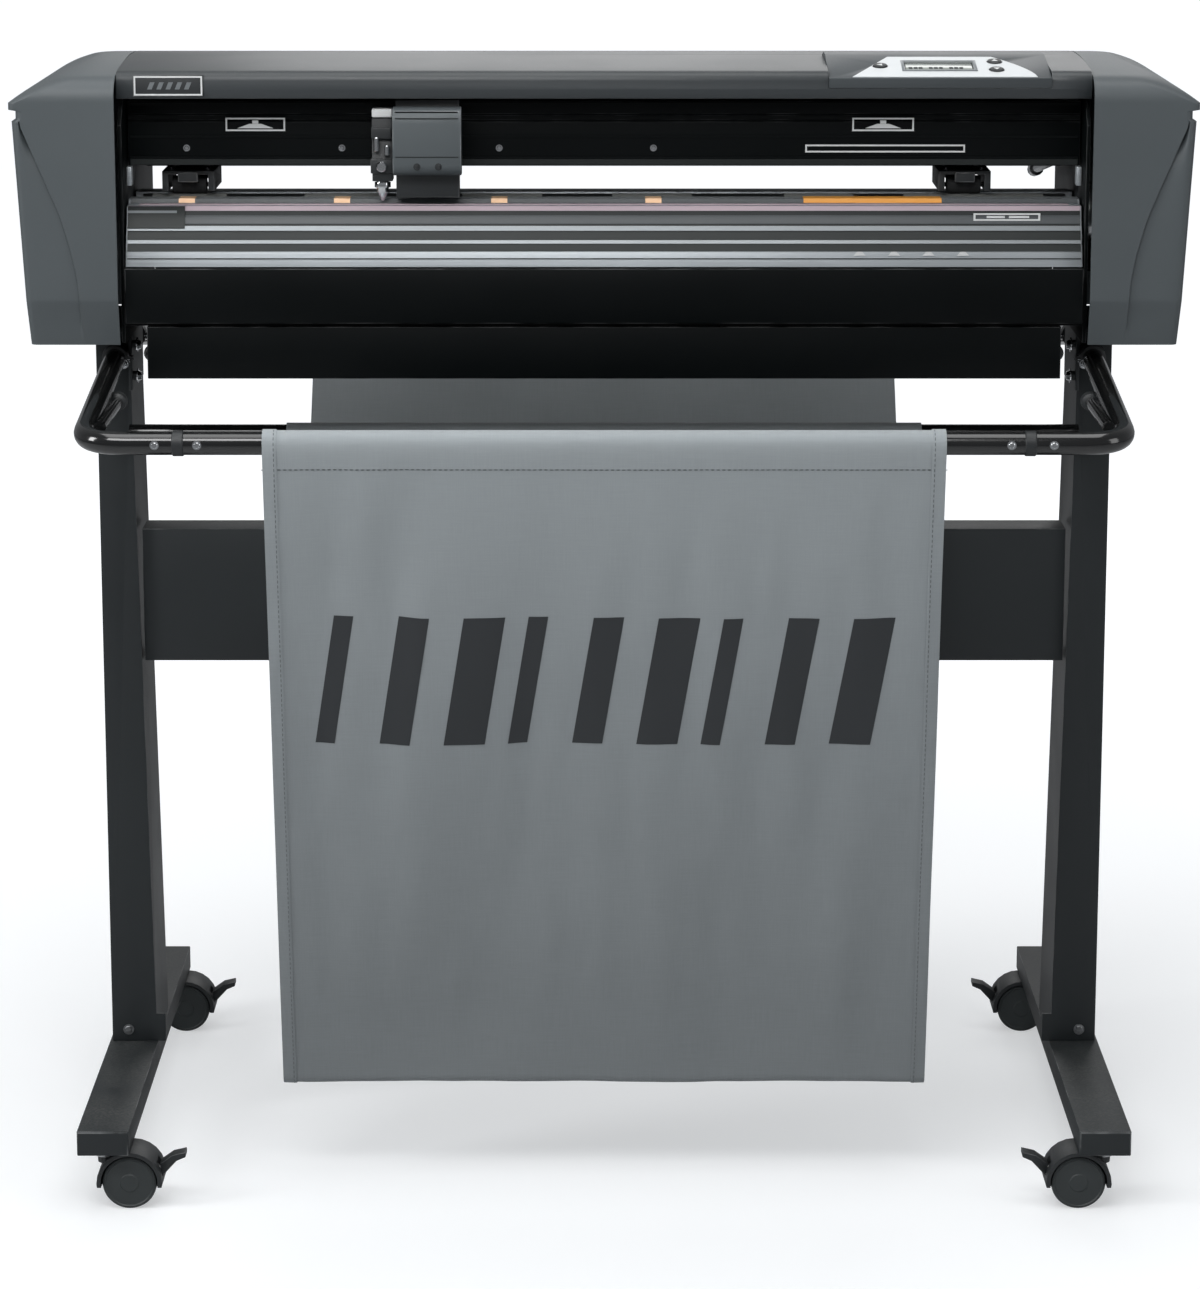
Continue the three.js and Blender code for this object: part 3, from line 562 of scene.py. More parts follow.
def growth_tree(name, inputs, build):
    """A tree with named inputs; build makes instances from them, which end as plain geometry in the material."""
    tree = bpy.data.node_groups.new(name, "GeometryNodeTree")
    for label, kind in {"Geometry": "Geometry", **inputs, "Material": "Material"}.items():
        tree.interface.new_socket(label, in_out="INPUT", socket_type="NodeSocket" + kind)
    tree.interface.new_socket("Geometry", in_out="OUTPUT", socket_type="NodeSocketGeometry")
    given = tree.nodes.new("NodeGroupInput").outputs
    real = add_node(tree, "GeometryNodeRealizeInstances", {0: build(tree, given)})
    inputs = {"Geometry": real.outputs[0], "Material": given["Material"]}
    dressed = add_node(tree, "GeometryNodeSetMaterial", inputs)
    add_node(tree, "NodeGroupOutput", {0: dressed.outputs[0]})
    return tree


def set_on(tree, points, instance, **rest):
    inputs = {"Points": points, "Instance": instance, **rest}
    return add_node(tree, "GeometryNodeInstanceOnPoints", inputs).outputs[0]


def facing_rotation(tree, direction):
    return add_node(tree, "FunctionNodeAlignRotationToVector", {"Vector": direction}, axis="Z").outputs[0]


def screw_heads(tree, given):
    """A domed head with a washer and a hexagon at each point of the base, facing one way."""
    radius, height = given["Radius"], given["Height"]
    whole = tree.nodes.new("GeometryNodeJoinGeometry")
    for kind, inputs in (
        ("Cone", {"Vertices": 16, "Radius Bottom": radius, "Radius Top": times(tree, radius, 0.72), "Depth": height}),
        ("Cylinder", {"Vertices": 20, "Radius": times(tree, radius, 1.35), "Depth": times(tree, height, 0.3)}),
        ("Cylinder", {"Vertices": 6, "Radius": times(tree, radius, 0.38), "Depth": times(tree, height, 2.16)}),
    ):
        tree.links.new(add_node(tree, "GeometryNodeMesh" + kind, inputs).outputs["Mesh"], whole.inputs[0])
    return set_on(tree, given["Geometry"], whole.outputs[0], Rotation=facing_rotation(tree, given["Facing"]))


def stitches(tree, given):
    """Short rounded stitches along the edges of the base."""
    line = add_node(tree, "GeometryNodeMeshToCurve", {0: given["Geometry"]}).outputs[0]
    inputs = {"Curve": line, "Length": given["Pitch"]}
    even = add_node(tree, "GeometryNodeCurveToPoints", inputs, mode="LENGTH").outputs
    stitch = add_node(tree, "GeometryNodeMeshUVSphere", {"Segments": 6, "Rings": 4, "Radius": 0.5})
    size = {"X": given["Thread"], "Y": given["Thread"], "Z": given["Length"]}
    size = add_node(tree, "ShaderNodeCombineXYZ", size).outputs[0]
    turn = facing_rotation(tree, even["Tangent"])
    return set_on(tree, even["Points"], stitch.outputs["Mesh"], Rotation=turn, Scale=size)


def rib_row(tree, given):
    """Each point of the base carries one bar of the given size."""
    bar = add_node(tree, "GeometryNodeMeshCube", {"Size": given["Size"]})
    return set_on(tree, given["Geometry"], bar.outputs["Mesh"])


TREES = {
    "screws": growth_tree("screw_heads", {"Radius": "Float", "Height": "Float", "Facing": "Vector"}, screw_heads),
    "stitches": growth_tree("stitches", {"Pitch": "Float", "Length": "Float", "Thread": "Float"}, stitches),
    "ribs": growth_tree("ribs", {"Size": "Vector"}, rib_row),
}


def grown(name, points, tree, body, slot, values, material=None, joined=False):
    """Runs a tree on a row of points, joined into a line or not, and keeps the result as a plain piece."""
    mesh = bpy.data.meshes.new(name)
    edges = [(k, k + 1) for k in range(len(points) - 1)] if joined else []
    mesh.from_pydata([Vector(point) * MM for point in points], edges, [])
    obj = link(bpy.data.objects.new(name, mesh))
    growth = obj.modifiers.new("growth", "NODES")
    growth.node_group = TREES[tree]
    given = dict(values, Material=finishes[material or slot])
    for item in TREES[tree].interface.items_tree:
        if item.in_out == "INPUT" and item.name in given:
            growth[item.identifier] = given[item.name]
    plain(obj)
    smooth_with_edges(obj.data, 40)
    return settle(obj, body, slot, (), material)


def screws(name, points, facing, radius, height, body="root", slot="steel"):
    values = {"Radius": radius * MM, "Height": height * MM, "Facing": facing}
    return grown(name, points, "screws", body, slot, values)


def ribs(name, points, size, body="root", slot="steel", material=None):
    return grown(name, points, "ribs", body, slot, {"Size": Vector(size) * MM}, material)


def stitched_line(name, points):
    values = {"Pitch": 5.2 * MM, "Length": 3.8 * MM, "Thread": 0.9 * MM}
    return grown(name, points, "stitches", "root", "cloth", values, "thread", joined=True)


def turned_piece(name, parts, body, slot, replaced=(), smooth=32):
    """One piece made of turned parts: each is an outline, a centre, an axis and a number of sides."""
    form = bmesh.new()
    for part in parts:
        add_lathe(form, *part)
    outward(form)
    return made_piece(name, form, body, slot, replaced, smooth=smooth)


# ---- side covers ----

SHOULDER_Z = 1084
CROWN_Z = 1119.8
COVER_WALL = 2.6
WALL_LINE = [(844, 567), (1066, 579), (1068, 575), (1076, 575), (1077.2, 582), (SHOULDER_Z, 582)]
CREASE = [
    (844, 515.5), (886.7, 516.8), (908.7, 518.3), (935.7, 523.3), (971.7, 533.3), (1000.8, 545.3), (1071.8, 575)
]
CREASE_DEPTH = [(850, 0), (872, 2.4), (1026, 2.6), (1048, 6.5), (1062, 6.5), (1066.4, 0)]
COVER_LEVELS = (
    [844, 850, 858, 866, 874, 880, 885, 888, 890, 893, 898] + list(range(908, 1058, 10))
    + [1060, 1064, 1066, 1067.2, 1068, 1070, 1072, 1074, 1076, 1076.6, 1077.2, 1079, 1082, 1084, 1086, 1088.5]
    + [1091, 1094, 1097, 1100, 1102.5, 1104.5, 1106.5, 1108, 1109, 1110.2, 1111.6, 1113, 1114.4, 1115.8, 1117]
    + [1118, 1118.8, 1119.4, CROWN_Z]
)


def cover_outer(z):
    """How far the cover reaches from the middle: a wall, a groove, a lip and a falling shoulder."""
    if z <= SHOULDER_Z:
        return between(WALL_LINE, z)
    t = (math.sqrt(324 + 76 * (1121 - z)) - 18) / 38
    return 505 + 80 * t - 3 * t * t


def cover_front(z):
    if z <= 1086:
        return between([(844, -138), (889, -150), (1086, -150)], z)
    if z <= 1109:
        t = (38 - math.sqrt(1444 - 60 * (z - 1086))) / 30
        return -150 + 2 * t + 18 * t * t
    return -130 + 140 * (1 - math.sqrt(1 - (z - 1109) / 11))


def cover_rear(z):
    if z <= 1060:
        return between([(844, 138), (889, 150), (1060, 150)], z)
    if z <= 1090:
        t = (math.sqrt(400 + 40 * (1090 - z)) - 20) / 20
        return 142 + 16 * t - 8 * t * t
    t = math.sqrt((1120 - z) / 30)
    return 10 + 200 * t - 68 * t * t


def cover_row(z, inner):
    """One level of the left cover: across the front, round the side, and back across the rear."""
    outer, front, rear = cover_outer(z), cover_front(z), cover_rear(z)
    corner = 7 + max(0, z - SHOULDER_Z) * 0.9
    corner = min(corner, (rear - front) * 0.48, (outer - inner) * 0.6)
    crease = min(between(CREASE, z), outer - corner - 1)
    depth = between(CREASE_DEPTH, z)
    flank = outer - corner
    turns = [math.pi / 2 * k / 6 for k in range(1, 6)]
    row = [(inner + (crease - 0.6 - inner) * t, front) for t in (0, 0.1, 0.25, 0.4, 0.55, 0.7, 0.85, 0.95, 1)]
    for t in (0, 0.06, 0.2, 0.4, 0.6, 0.8, 0.92, 1):
        hollow = depth * (1 - t * t * (3 - 2 * t))
        row.append((crease + (flank - crease) * t, front + hollow))
    row += [(flank + corner * math.sin(a), front + corner * (1 - math.cos(a))) for a in turns]
    row += [(outer, front + corner + (rear - front - 2 * corner) * k / 12) for k in range(13)]
    row += [(flank + corner * math.cos(a), rear - corner * (1 - math.sin(a))) for a in turns]
    row += [(flank + (inner - flank) * t, rear) for t in (0, 0.25, 0.5, 0.75, 1)]
    return [(-x, y, z) for x, y in row]


def side_cover(side):
    node = side + "_cover"
    inner = -box_of("left_cover")[1].x
    form = bmesh.new()
    made = add_grid(form, [cover_row(z, inner) for z in COVER_LEVELS])
    form.faces.new(made[-1])
    if side == "right":
        bmesh.ops.scale(form, vec=(-1, 1, 1), verts=form.verts)
    outward(form)
    form.faces.ensure_lookup_table()
    front_face = min(form.faces, key=lambda face: face.calc_center_median().y)
    if front_face.normal.y > 0:
        bmesh.ops.reverse_faces(form, faces=form.faces)
    shell = walled(node + "_shell", form, COVER_WALL, -1, 38)
    return settle(shell, "root", "cover_plastic", [node])


# ---- cloth basket ----

CLOTH = 1.2
CLOTH_COLUMNS = 80
SLEEVE_DROP = 33
HEM = 13
POCKET, POCKET_FOLD = (-206, 116), 11  # middle of the deep pocket's fold, and its radius
TROUGH, TROUGH_FOLD = (150, 628), 64
PRINT_MARGIN, PRINT_BARS = 42, 9


def arc(centre, radius, start, end, steps):
    """Points round a centre in the (y, z) plane, with angles from +Y towards +Z in degrees."""
    angles = [math.radians(start + (end - start) * k / steps) for k in range(steps + 1)]
    return [(centre[0] + radius * math.cos(a), centre[1] + radius * math.sin(a)) for a in angles]


def run(start, end, step=9):
    count = max(1, round(math.dist(start, end) / step))
    return [tuple(a + (b - a) * k / count for a, b in zip(start, end)) for k in range(count + 1)]


def bar_centre(node):
    """The middle of a bar in (y, z), and its radius."""
    low, high = box_of(node)
    return ((low.y + high.y) / 2, (low.z + high.z) / 2), (high.z - low.z) / 2


def basket_path():
    """The cloth's line in (y, z): front sleeve, deep pocket, middle bar, shallow pocket, rear sleeve."""
    front, bar = bar_centre("front_bar")
    rear, _ = bar_centre("rear_bar")
    middle, middle_r = bar_centre("middle_bar")
    loop = bar + CLOTH / 2 + 0.4
    saddle = middle_r + CLOTH / 2 + 0.4
    flap = front[1] + bar - SLEEVE_DROP - 3
    lean = (front[0] - loop - (POCKET[0] - POCKET_FOLD)) / (front[1] - POCKET[1])
    start = (front[0] - loop - lean * (front[1] - flap) + 1.6, flap)
    rim = TROUGH[1] - 18
    line = run(start, (front[0] + loop - 1, front[1] - 4), 6)
    line += arc(front, loop, 0, 180, 14)
    line += run((front[0] - loop, front[1] - 6), (POCKET[0] - POCKET_FOLD, POCKET[1]))
    line += arc(POCKET, POCKET_FOLD, 195, 345, 10)
    line += run((POCKET[0] + POCKET_FOLD, POCKET[1] + 4), (middle[0] - saddle - 0.5, middle[1] - 6))
    line += arc(middle, saddle, 165, 15, 9)
    line += run((middle[0] + saddle + 3, middle[1] - 6), (TROUGH[0] - TROUGH_FOLD + 2, rim))
    line += arc(TROUGH, TROUGH_FOLD, 200, 340, 14)
    line += run((TROUGH[0] + TROUGH_FOLD - 2, rim), (rear[0] + loop, rear[1] - 6))
    line += arc(rear, loop, 0, 180, 14)
    line += run((rear[0] - loop + 1, rear[1] - 4), (rear[0] + loop - 8, flap), 6)
    return line


BASKET_LINE = basket_path()
BASKET_RUN = [0.0]
for before, after in zip(BASKET_LINE, BASKET_LINE[1:]):
    BASKET_RUN.append(BASKET_RUN[-1] + math.dist(before, after))
BASKET_BARS = [bar_centre(node)[0] for node in ("front_bar", "middle_bar", "rear_bar")]


def basket_ripple(x, y, z, run_along):
    """How far the cloth stands off its line: nothing at the bars, soft folds between them."""
    held = [math.dist((y, z), bar) for bar in BASKET_BARS] + [math.dist((y, z), POCKET) + 20]
    free = min(1.0, min(held) / 110 - 0.12)
    if free <= 0:
        return 0.0
    slow = noise.noise(Vector((x / 105, run_along / 330, 3.1))) * 8.0
    fold = noise.noise(Vector((x / 42, run_along / 210, 7.7))) * 4.2
    crease = noise.noise(Vector((x / 17, run_along / 70, 1.9))) * 0.9
    pulled = math.exp(-((x + 215) / 95) ** 2) * math.exp(-max(0.0, 790 - z) / 170)
    pull = pulled * 4.2 * math.sin(x / 12.5 + run_along / 160)
    return free * (slow + fold + crease + pull)


def basket_point(x, i, lift=0.0):
    """A point of the cloth at a distance x from the middle on row i, lifted off its outer face."""
    y, z = BASKET_LINE[i]
    ahead = BASKET_LINE[min(i + 1, len(BASKET_LINE) - 1)]
    behind = BASKET_LINE[max(i - 1, 0)]
    along = Vector((ahead[0] - behind[0], ahead[1] - behind[1])).normalized()
    stand = basket_ripple(x, y, z, BASKET_RUN[i]) + lift
    return (x, y + along.y * stand, z - along.x * stand)


def basket_strip(name, columns, rows, thickness, lift):
    """A strip of the basket cloth between some columns and rows, with its own thickness."""
    form = bmesh.new()
    made = add_grid(form, [[basket_point(x, i, lift) for x in columns] for i in rows])
    uv = form.loops.layers.uv.new("cloth_uv")
    place = {}
    for row, i in zip(made, rows):
        for vert, x in zip(row, columns):
            place[vert] = (x * MM, BASKET_RUN[i] * MM)
    for face in form.faces:
        for loop in face.loops:
            loop[uv].uv = place[loop.vert]
    return walled(name, form, thickness, 0, 60)


def basket():
    half = box_of("cloth_basket")[1].x
    every = range(len(BASKET_LINE))
    columns = [-half + 2 * half * k / CLOTH_COLUMNS for k in range(CLOTH_COLUMNS + 1)]
    cloth = settle(basket_strip("basket_cloth", columns, every, CLOTH, 0), "root", "cloth", ["cloth_basket"])
    for side, sign in SIDES.items():
        edge = [sign * (half - HEM * k / 3) for k in range(4)]
        hem = basket_strip(side + "_hem", sorted(edge), every, 1.0, CLOTH / 2 + 0.45)
        settle(hem, "root", "cloth")
        seam = [basket_point(sign * (half - HEM + 2.2), i, CLOTH / 2 + 1.0) for i in every]
        stitched_line(side + "_hem_stitches", seam)
    for end, bar in (("front", BASKET_BARS[0]), ("rear", BASKET_BARS[2])):
        level = bar[1] + 11 - SLEEVE_DROP
        outer = [i for i in every if abs(BASKET_LINE[i][0]) > abs(bar[0]) and BASKET_LINE[i][1] > level - 5]
        row = min(outer, key=lambda i: abs(BASKET_LINE[i][1] - level))
        seam = [basket_point(x, row, CLOTH / 2 + 0.3) for x in columns]
        stitched_line(end + "_sleeve_stitches", seam)
    printed_band(half)


def printed_band(half):
    """A plain band of slanted bars printed across the front panel."""
    front = [i for i, (y, z) in enumerate(BASKET_LINE) if y < -200 and 468 < z < 610 and i > 12]
    rows = len(front) - 1
    form = bmesh.new()
    pitch = 2 * (half - PRINT_MARGIN) / PRINT_BARS
    for k in range(PRINT_BARS):
        left = -half + PRINT_MARGIN + pitch * k
        wide = pitch * (0.3 + 0.34 * (k % 3) / 2)
        grid = []
        for r, i in enumerate(front):
            slant = pitch * 0.34 * (1 - r / rows)
            grid.append([basket_point(left + slant + wide * c / 4, i, CLOTH / 2 + 0.25) for c in range(5)])
        add_grid(form, grid)
    return settle(walled("printed_band", form, 0.15, 0, 60), "root", "cloth", (), "ink")


# ---- basket frame ----


def straight_tube(node, name, steps=12):
    low, high = box_of(node)
    (y, z), radius = bar_centre(node)
    form = bmesh.new()
    add_tube(form, [(low.x + (high.x - low.x) * k / steps, y, z) for k in range(steps + 1)], radius)
    made_piece(name, form, "root", "tube_paint", [node])


def corner_arm(side, end):
    """The bent tube from a leg to the front or rear bar, with its swaged joint and the hook rod."""
    node = f"{side}_{end}_arm"
    low, high = box_of(node)
    x_sign, y_sign = SIDES[side], ENDS[end]
    bar = bar_centre("front_bar")[1]
    (bar_y, bar_z), _ = bar_centre(end + "_bar")
    outer_x = x_sign * (max(abs(low.x), abs(high.x)) - bar)
    joint_x = x_sign * min(abs(low.x), abs(high.x))
    leg_face = low.y if y_sign > 0 else high.y
    corners = [(outer_x, leg_face, high.z - bar), (outer_x, bar_y, bar_z), (joint_x, bar_y, bar_z)]
    form = bmesh.new()
    add_tube(form, bent(corners, 42), bar)
    rod_x = x_sign * 480
    rod_end = (rod_x, y_sign * 146, 790)
    hook = [(rod_x, y_sign * 296, 789.5), (rod_x, y_sign * 200, 790), rod_end]
    add_tube(form, bent(hook, 6), 5.6, 16)
    made_piece(node + "_tube", form, "root", "tube_paint", [node])
    collar = [(bar + 0.1, -1), (bar + 1.1, 0), (bar + 1.1, 9), (bar + 0.1, 10)]
    knob = [(4.4, -16), (8.6, -13.5), (9, -10), (9, -3), (7.6, -1), (6.2, 0)]
    joint = [(collar, (joint_x, bar_y, bar_z), (x_sign, 0, 0), 28), (knob, rod_end, (0, -y_sign, 0), 20)]
    turned_piece(node + "_joint", joint, "root", "black_plastic")
    faces = [(x_sign * (abs(joint_x) + step), bar_y + y_sign * (bar - 0.2), bar_z) for step in (26, -14)]
    screws(node + "_screws", faces, (0, y_sign, 0), 3.2, 1.6, slot="chrome")
    screws(node + "_knob_screw", [rod_end], (0, -y_sign, 0), 4.2, 2.2, slot="chrome")


# ---- plates, labels and panel ----

PANEL_SLOPE = math.atan2(17, 76)
GUIDES = (-414, -260, -104, 49)  # where the beam's screws and the table's markers sit


def add_plate(form, outer, holes, place, thickness):
    """Adds a flat plate from an outline with holes; place maps (a, b, height) to a point."""
    edges = []
    for loop in [outer, *holes]:
        verts = [form.verts.new(Vector(place(a, b, 0)) * MM) for a, b in loop]
        edges += [form.edges.new((v, verts[(k + 1) % len(verts)])) for k, v in enumerate(verts)]
    filled = bmesh.ops.triangle_fill(form, use_beauty=True, edges=edges)
    faces = [item for item in filled["geom"] if isinstance(item, bmesh.types.BMFace)]
    grown_up = bmesh.ops.extrude_face_region(form, geom=faces, use_keep_orig=True)
    raised = [item for item in grown_up["geom"] if isinstance(item, bmesh.types.BMVert)]
    lift = (Vector(place(0, 0, thickness)) - Vector(place(0, 0, 0))) * MM
    bmesh.ops.translate(form, vec=lift, verts=raised)


def rectangle(a0, a1, b0, b1):
    return [(a0, b0), (a1, b0), (a1, b1), (a0, b1)]


def bordered(a0, a1, b0, b1, width):
    """A rectangle with a rectangular hole, which leaves a border."""
    return rectangle(a0, a1, b0, b1), [rectangle(a0 + width, a1 - width, b0 + width, b1 - width)]


def round_hole(a, b, radius, sides=20):
    return [(a + radius * math.cos(t), b + radius * math.sin(t)) for t in ring(sides)]


def facing_front(y):
    """Places a plate in the (x, z) plane at y, growing towards the front."""
    return lambda a, b, height: (a, y - height, b)


def facing_rear(y):
    return lambda a, b, height: (a, y + height, b)


def plate(name, parts, place, thickness, slot, material=None, body="root", edge=0.0):
    """One piece made of several plates: each part is an outline and its holes."""
    form = bmesh.new()
    for outer, holes in parts:
        add_plate(form, outer, holes, place, thickness)
    outward(form)
    if edge:
        ease(form, edge, 2, 50)
    return made_piece(name, form, body, slot, (), material)


def panel_place(lift=0.0):
    """Places a plate on the sloping panel, with b running up the slope."""
    low, high = box_of("control_panel")
    front_y, front_z = low.y, high.z - 17
    rise, reach = math.sin(PANEL_SLOPE), math.cos(PANEL_SLOPE)

    def place(a, b, height):
        out = height + lift
        return (a, front_y + b * reach - out * rise, front_z + b * rise + out * reach)

    return place


def key_centres():
    """Each key's middle on the panel face, as (x, up the slope)."""
    front_y = box_of("control_panel")[0].y
    centres = {}
    for key in ("up_key", "down_key", "enter_key"):
        low, high = box_of(key)
        middle = (low + high) / 2
        centres[key] = (middle.x, (middle.y - front_y) / math.cos(PANEL_SLOPE) - 0.3)
    return centres


def panel_dress():
    low, high = box_of("display")
    screen = rectangle(low.x - 1, high.x + 1, 24, 52)
    keys = key_centres()
    holes = [screen] + [round_hole(a, b, 8) for a, b in keys.values()]
    left, right = 243, 424
    curve = [(right - 40 * (k / 8) ** 1.6, 3 + 65 * k / 8) for k in range(9)]
    outline = [(left, 3), *curve, (left + 38, 68)]
    plate("panel_overlay", [(outline, holes)], panel_place(0.05), 0.7, "panel_plastic", "panel_light")
    bezel = [(rectangle(low.x - 4, high.x + 4, 21, 55), [screen])]
    plate("display_bezel", bezel, panel_place(0.75), 0.8, "panel_plastic", "panel_silver", edge=0.25)
    for key, (a, b) in {"up_key": (0, 1), "down_key": (0, -1), "enter_key": (-1, 0)}.items():
        x, u = keys[key]
        tip = [(x + 3.4 * a, u + 3.4 * b)]
        tip += [(x - 2 * a - 3 * b, u - 2 * b - 3 * a), (x - 2 * a + 3 * b, u - 2 * b + 3 * a)]
        plate(key + "_arrow", [(tip, [])], panel_place(2.05), 0.25, "black_plastic", "label_white", key)
    segments = [(rectangle(300 + 5 * k, 303.6 + 5 * k, 31, 37), []) for k in range(12) if k % 4 != 3]
    plate("display_segments", segments, panel_place(-0.15), 0.1, "display_glass", "ink")


def badge():
    """A blank plate with a light border and a plain mark of slanted bars."""
    left, right, low, high = -461, -392, 1089, 1110
    body = [(rectangle(left, right, low, high), [])]
    plate("badge_body", body, facing_front(-127), 6.6, "black_plastic", edge=0.5)
    border = bordered(left + 1, right - 1, low + 1, high - 1, 1.6)
    plate("badge_border", [border], facing_front(-133.55), 0.5, "steel", "label_white")
    marks = []
    for k in range(5):
        a = left + 14 + 9 * k
        marks.append(([(a, low + 7), (a + 4.5, low + 7), (a + 7.5, high - 7), (a + 3, high - 7)], []))
    plate("badge_mark", marks, facing_front(-133.55), 0.4, "steel", "panel_silver")


def beam_dress():
    low, high = box_of("beam")
    face = low.y
    screws("beam_screws", [(x, face - 0.05, 1034) for x in GUIDES], (0, -1, 0), 2.5, 0.9, slot="chrome")
    on_face = facing_front(face - 0.02)
    for side, (a0, a1) in {"left": (-375, -316), "right": (246, 307)}.items():
        middle = (a0 + a1) / 2
        foot = [(middle - 18, 1053.6), (middle + 18, 1053.6), (middle + 6, 1058), (middle - 6, 1058)]
        parts = [bordered(a0, a1, 1050.8, 1064, 1.6), (foot, [])]
        parts.append((rectangle(middle - 3, middle + 3, 1058.2, 1061.4), []))
        plate(side + "_beam_label", parts, on_face, 0.35, "strip", "label_white")
    plate("beam_strip_label", [bordered(199.6, 358, 1029.6, 1037.4, 1.6)], on_face, 0.35, "strip", "label_white")
    rails = [(0, face - 0.5, z) for z in (1024.5, 1045, 1077.5)]
    ribs("beam_rails", rails, (high.x - low.x - 4, 0.9, 2.2), slot="head_paint")
    lower = [(rectangle(low.x + 2, high.x - 2, 1017.4, 1023), [])]
    plate("beam_lower_land", lower, facing_front(face - 0.05), 0.5, "head_paint", "groove_dark")


# ---- media table ----

TABLE_FRONT = [(921, -135), (952, -124), (968, -116), (979, -114)]


def drawn_section(name, line, x0, x1, slot, material=None):
    """A bar with one outline in (y, z) all along, from one x to another."""
    form = bmesh.new()
    add_grid(form, [[(x0, y, z), (x1, y, z)] for y, z in line + line[:1]])
    bmesh.ops.remove_doubles(form, verts=form.verts, dist=1e-6)
    bmesh.ops.holes_fill(form, edges=form.edges)
    outward(form)
    return made_piece(name, form, "root", slot, (), material)


def table_band(name, z0, z1, lift, thickness, material, right_end=None, slot="platen_aluminium"):
    """A strip over the table's front slope, between two heights, from its left end to its right or a given x."""
    low, high = box_of("platen")
    right_end = high.x - 1.5 if right_end is None else right_end
    heights = [z0] + [z for z, _ in TABLE_FRONT if z0 < z < z1] + [z1]
    line = [(between(TABLE_FRONT, z) - lift, z) for z in heights]
    line += [(between(TABLE_FRONT, z) - (lift + thickness), z) for z in reversed(heights)]
    return drawn_section(name, line, low.x + 1.5, right_end, slot, material)


def land_clip(name, x0, x1, material, lift=0.0, back=-79):
    """A thin angle over the step behind the cutting strip, reaching back over the land."""
    front, top = -99.2 - lift, 984.6 + lift
    line = [(front, 980.4), (front + 2, top), (back, top), (back, 984.1), (-96.6, 984.1), (-98.4, 980.4)]
    return drawn_section(name, line, x0, x1, "strip", material)


def table_dress():
    for band in (  # name, from and to height, lift, thickness and finish
        ("table_dark_face", 936, 978.6, 0.15, 0.5, "groove_dark"),
        ("table_upper_rail", 955.8, 960.2, 0.7, 1.2, "panel_silver"),
        ("table_middle_land", 962.2, 970.2, 0.7, 0.5, "panel_plastic"),
        ("table_lower_rail", 943.6, 946.8, 0.7, 1.2, "panel_silver"),
        ("table_foot_line", 928.6, 929.6, 0.1, 0.7, "groove_dark"),
    ):
        table_band(*band)
    low, high = box_of("platen")
    land_clip("land_edge", low.x + 2, high.x - 2, "panel_plastic", -0.35, -95.5)
    table_band("strip_seat_edge", 974.6, 979.3, 0.75, 0.4, "strip", slot="strip")
    land_clip("cut_off_strip", 198, 335, "strip_orange")
    table_band("left_end_plate", 958, 979.2, 2.0, 0.9, "groove_dark", -414)
    table_band("left_end_line", 972.6, 975, 2.95, 0.3, "panel_silver", -422)
    for k, x in enumerate(GUIDES):
        land_clip(f"guide_marker_{k + 1}", x - 8, x + 8, "marker_copper")
    holder = (rectangle(365, 431, 965, 972.4), [rectangle(367, 429, 966.6, 970.8)])
    marks = [(rectangle(a0, a1, 967.6, 969.8), []) for a0, a1 in ((378, 396), (400, 420))]
    plate("table_label", [holder, *marks], facing_front(-118.4), 0.4, "strip", "label_white")
    guides = []
    for x in (252, 286, 320, 354):
        guides.append(([(x - 6, 932), (x + 6, 932), (x + 2.5, 936), (x - 2.5, 936)], []))
    plate("table_guides", guides, facing_front(-132.3), 0.4, "strip", "label_white")
    for side, sign in SIDES.items():
        x = sign * 470
        corners = (x - 2.5, -104, 998), (x + 2.5, -92, 1016.6)
        block_piece(side + "_gap_guide", *corners, 0.6, 2, "root", "platen_aluminium")


def drum_dress():
    """Bands of grit on the feed drum, standing just proud of its bare ends."""
    low, high = box_of("drum")
    y, z = (low.y + high.y) / 2, (low.z + high.z) / 2
    form = bmesh.new()
    for x0, x1 in ((-452, -378), (-300, -220), (-142, -62), (8, 88), (180, 250), (300, 440)):
        outline = [(17.9, x0), (18.12, x0 + 0.4), (18.12, x1 - 0.4), (17.9, x1)]
        rows = [[(x, y + r * math.cos(a), z + r * math.sin(a)) for a in ring(36)] for r, x in outline]
        add_grid(form, rows, closed=True)
    outward(form)
    made_piece("drum_grit", form, "drum", "steel", (), "grit")


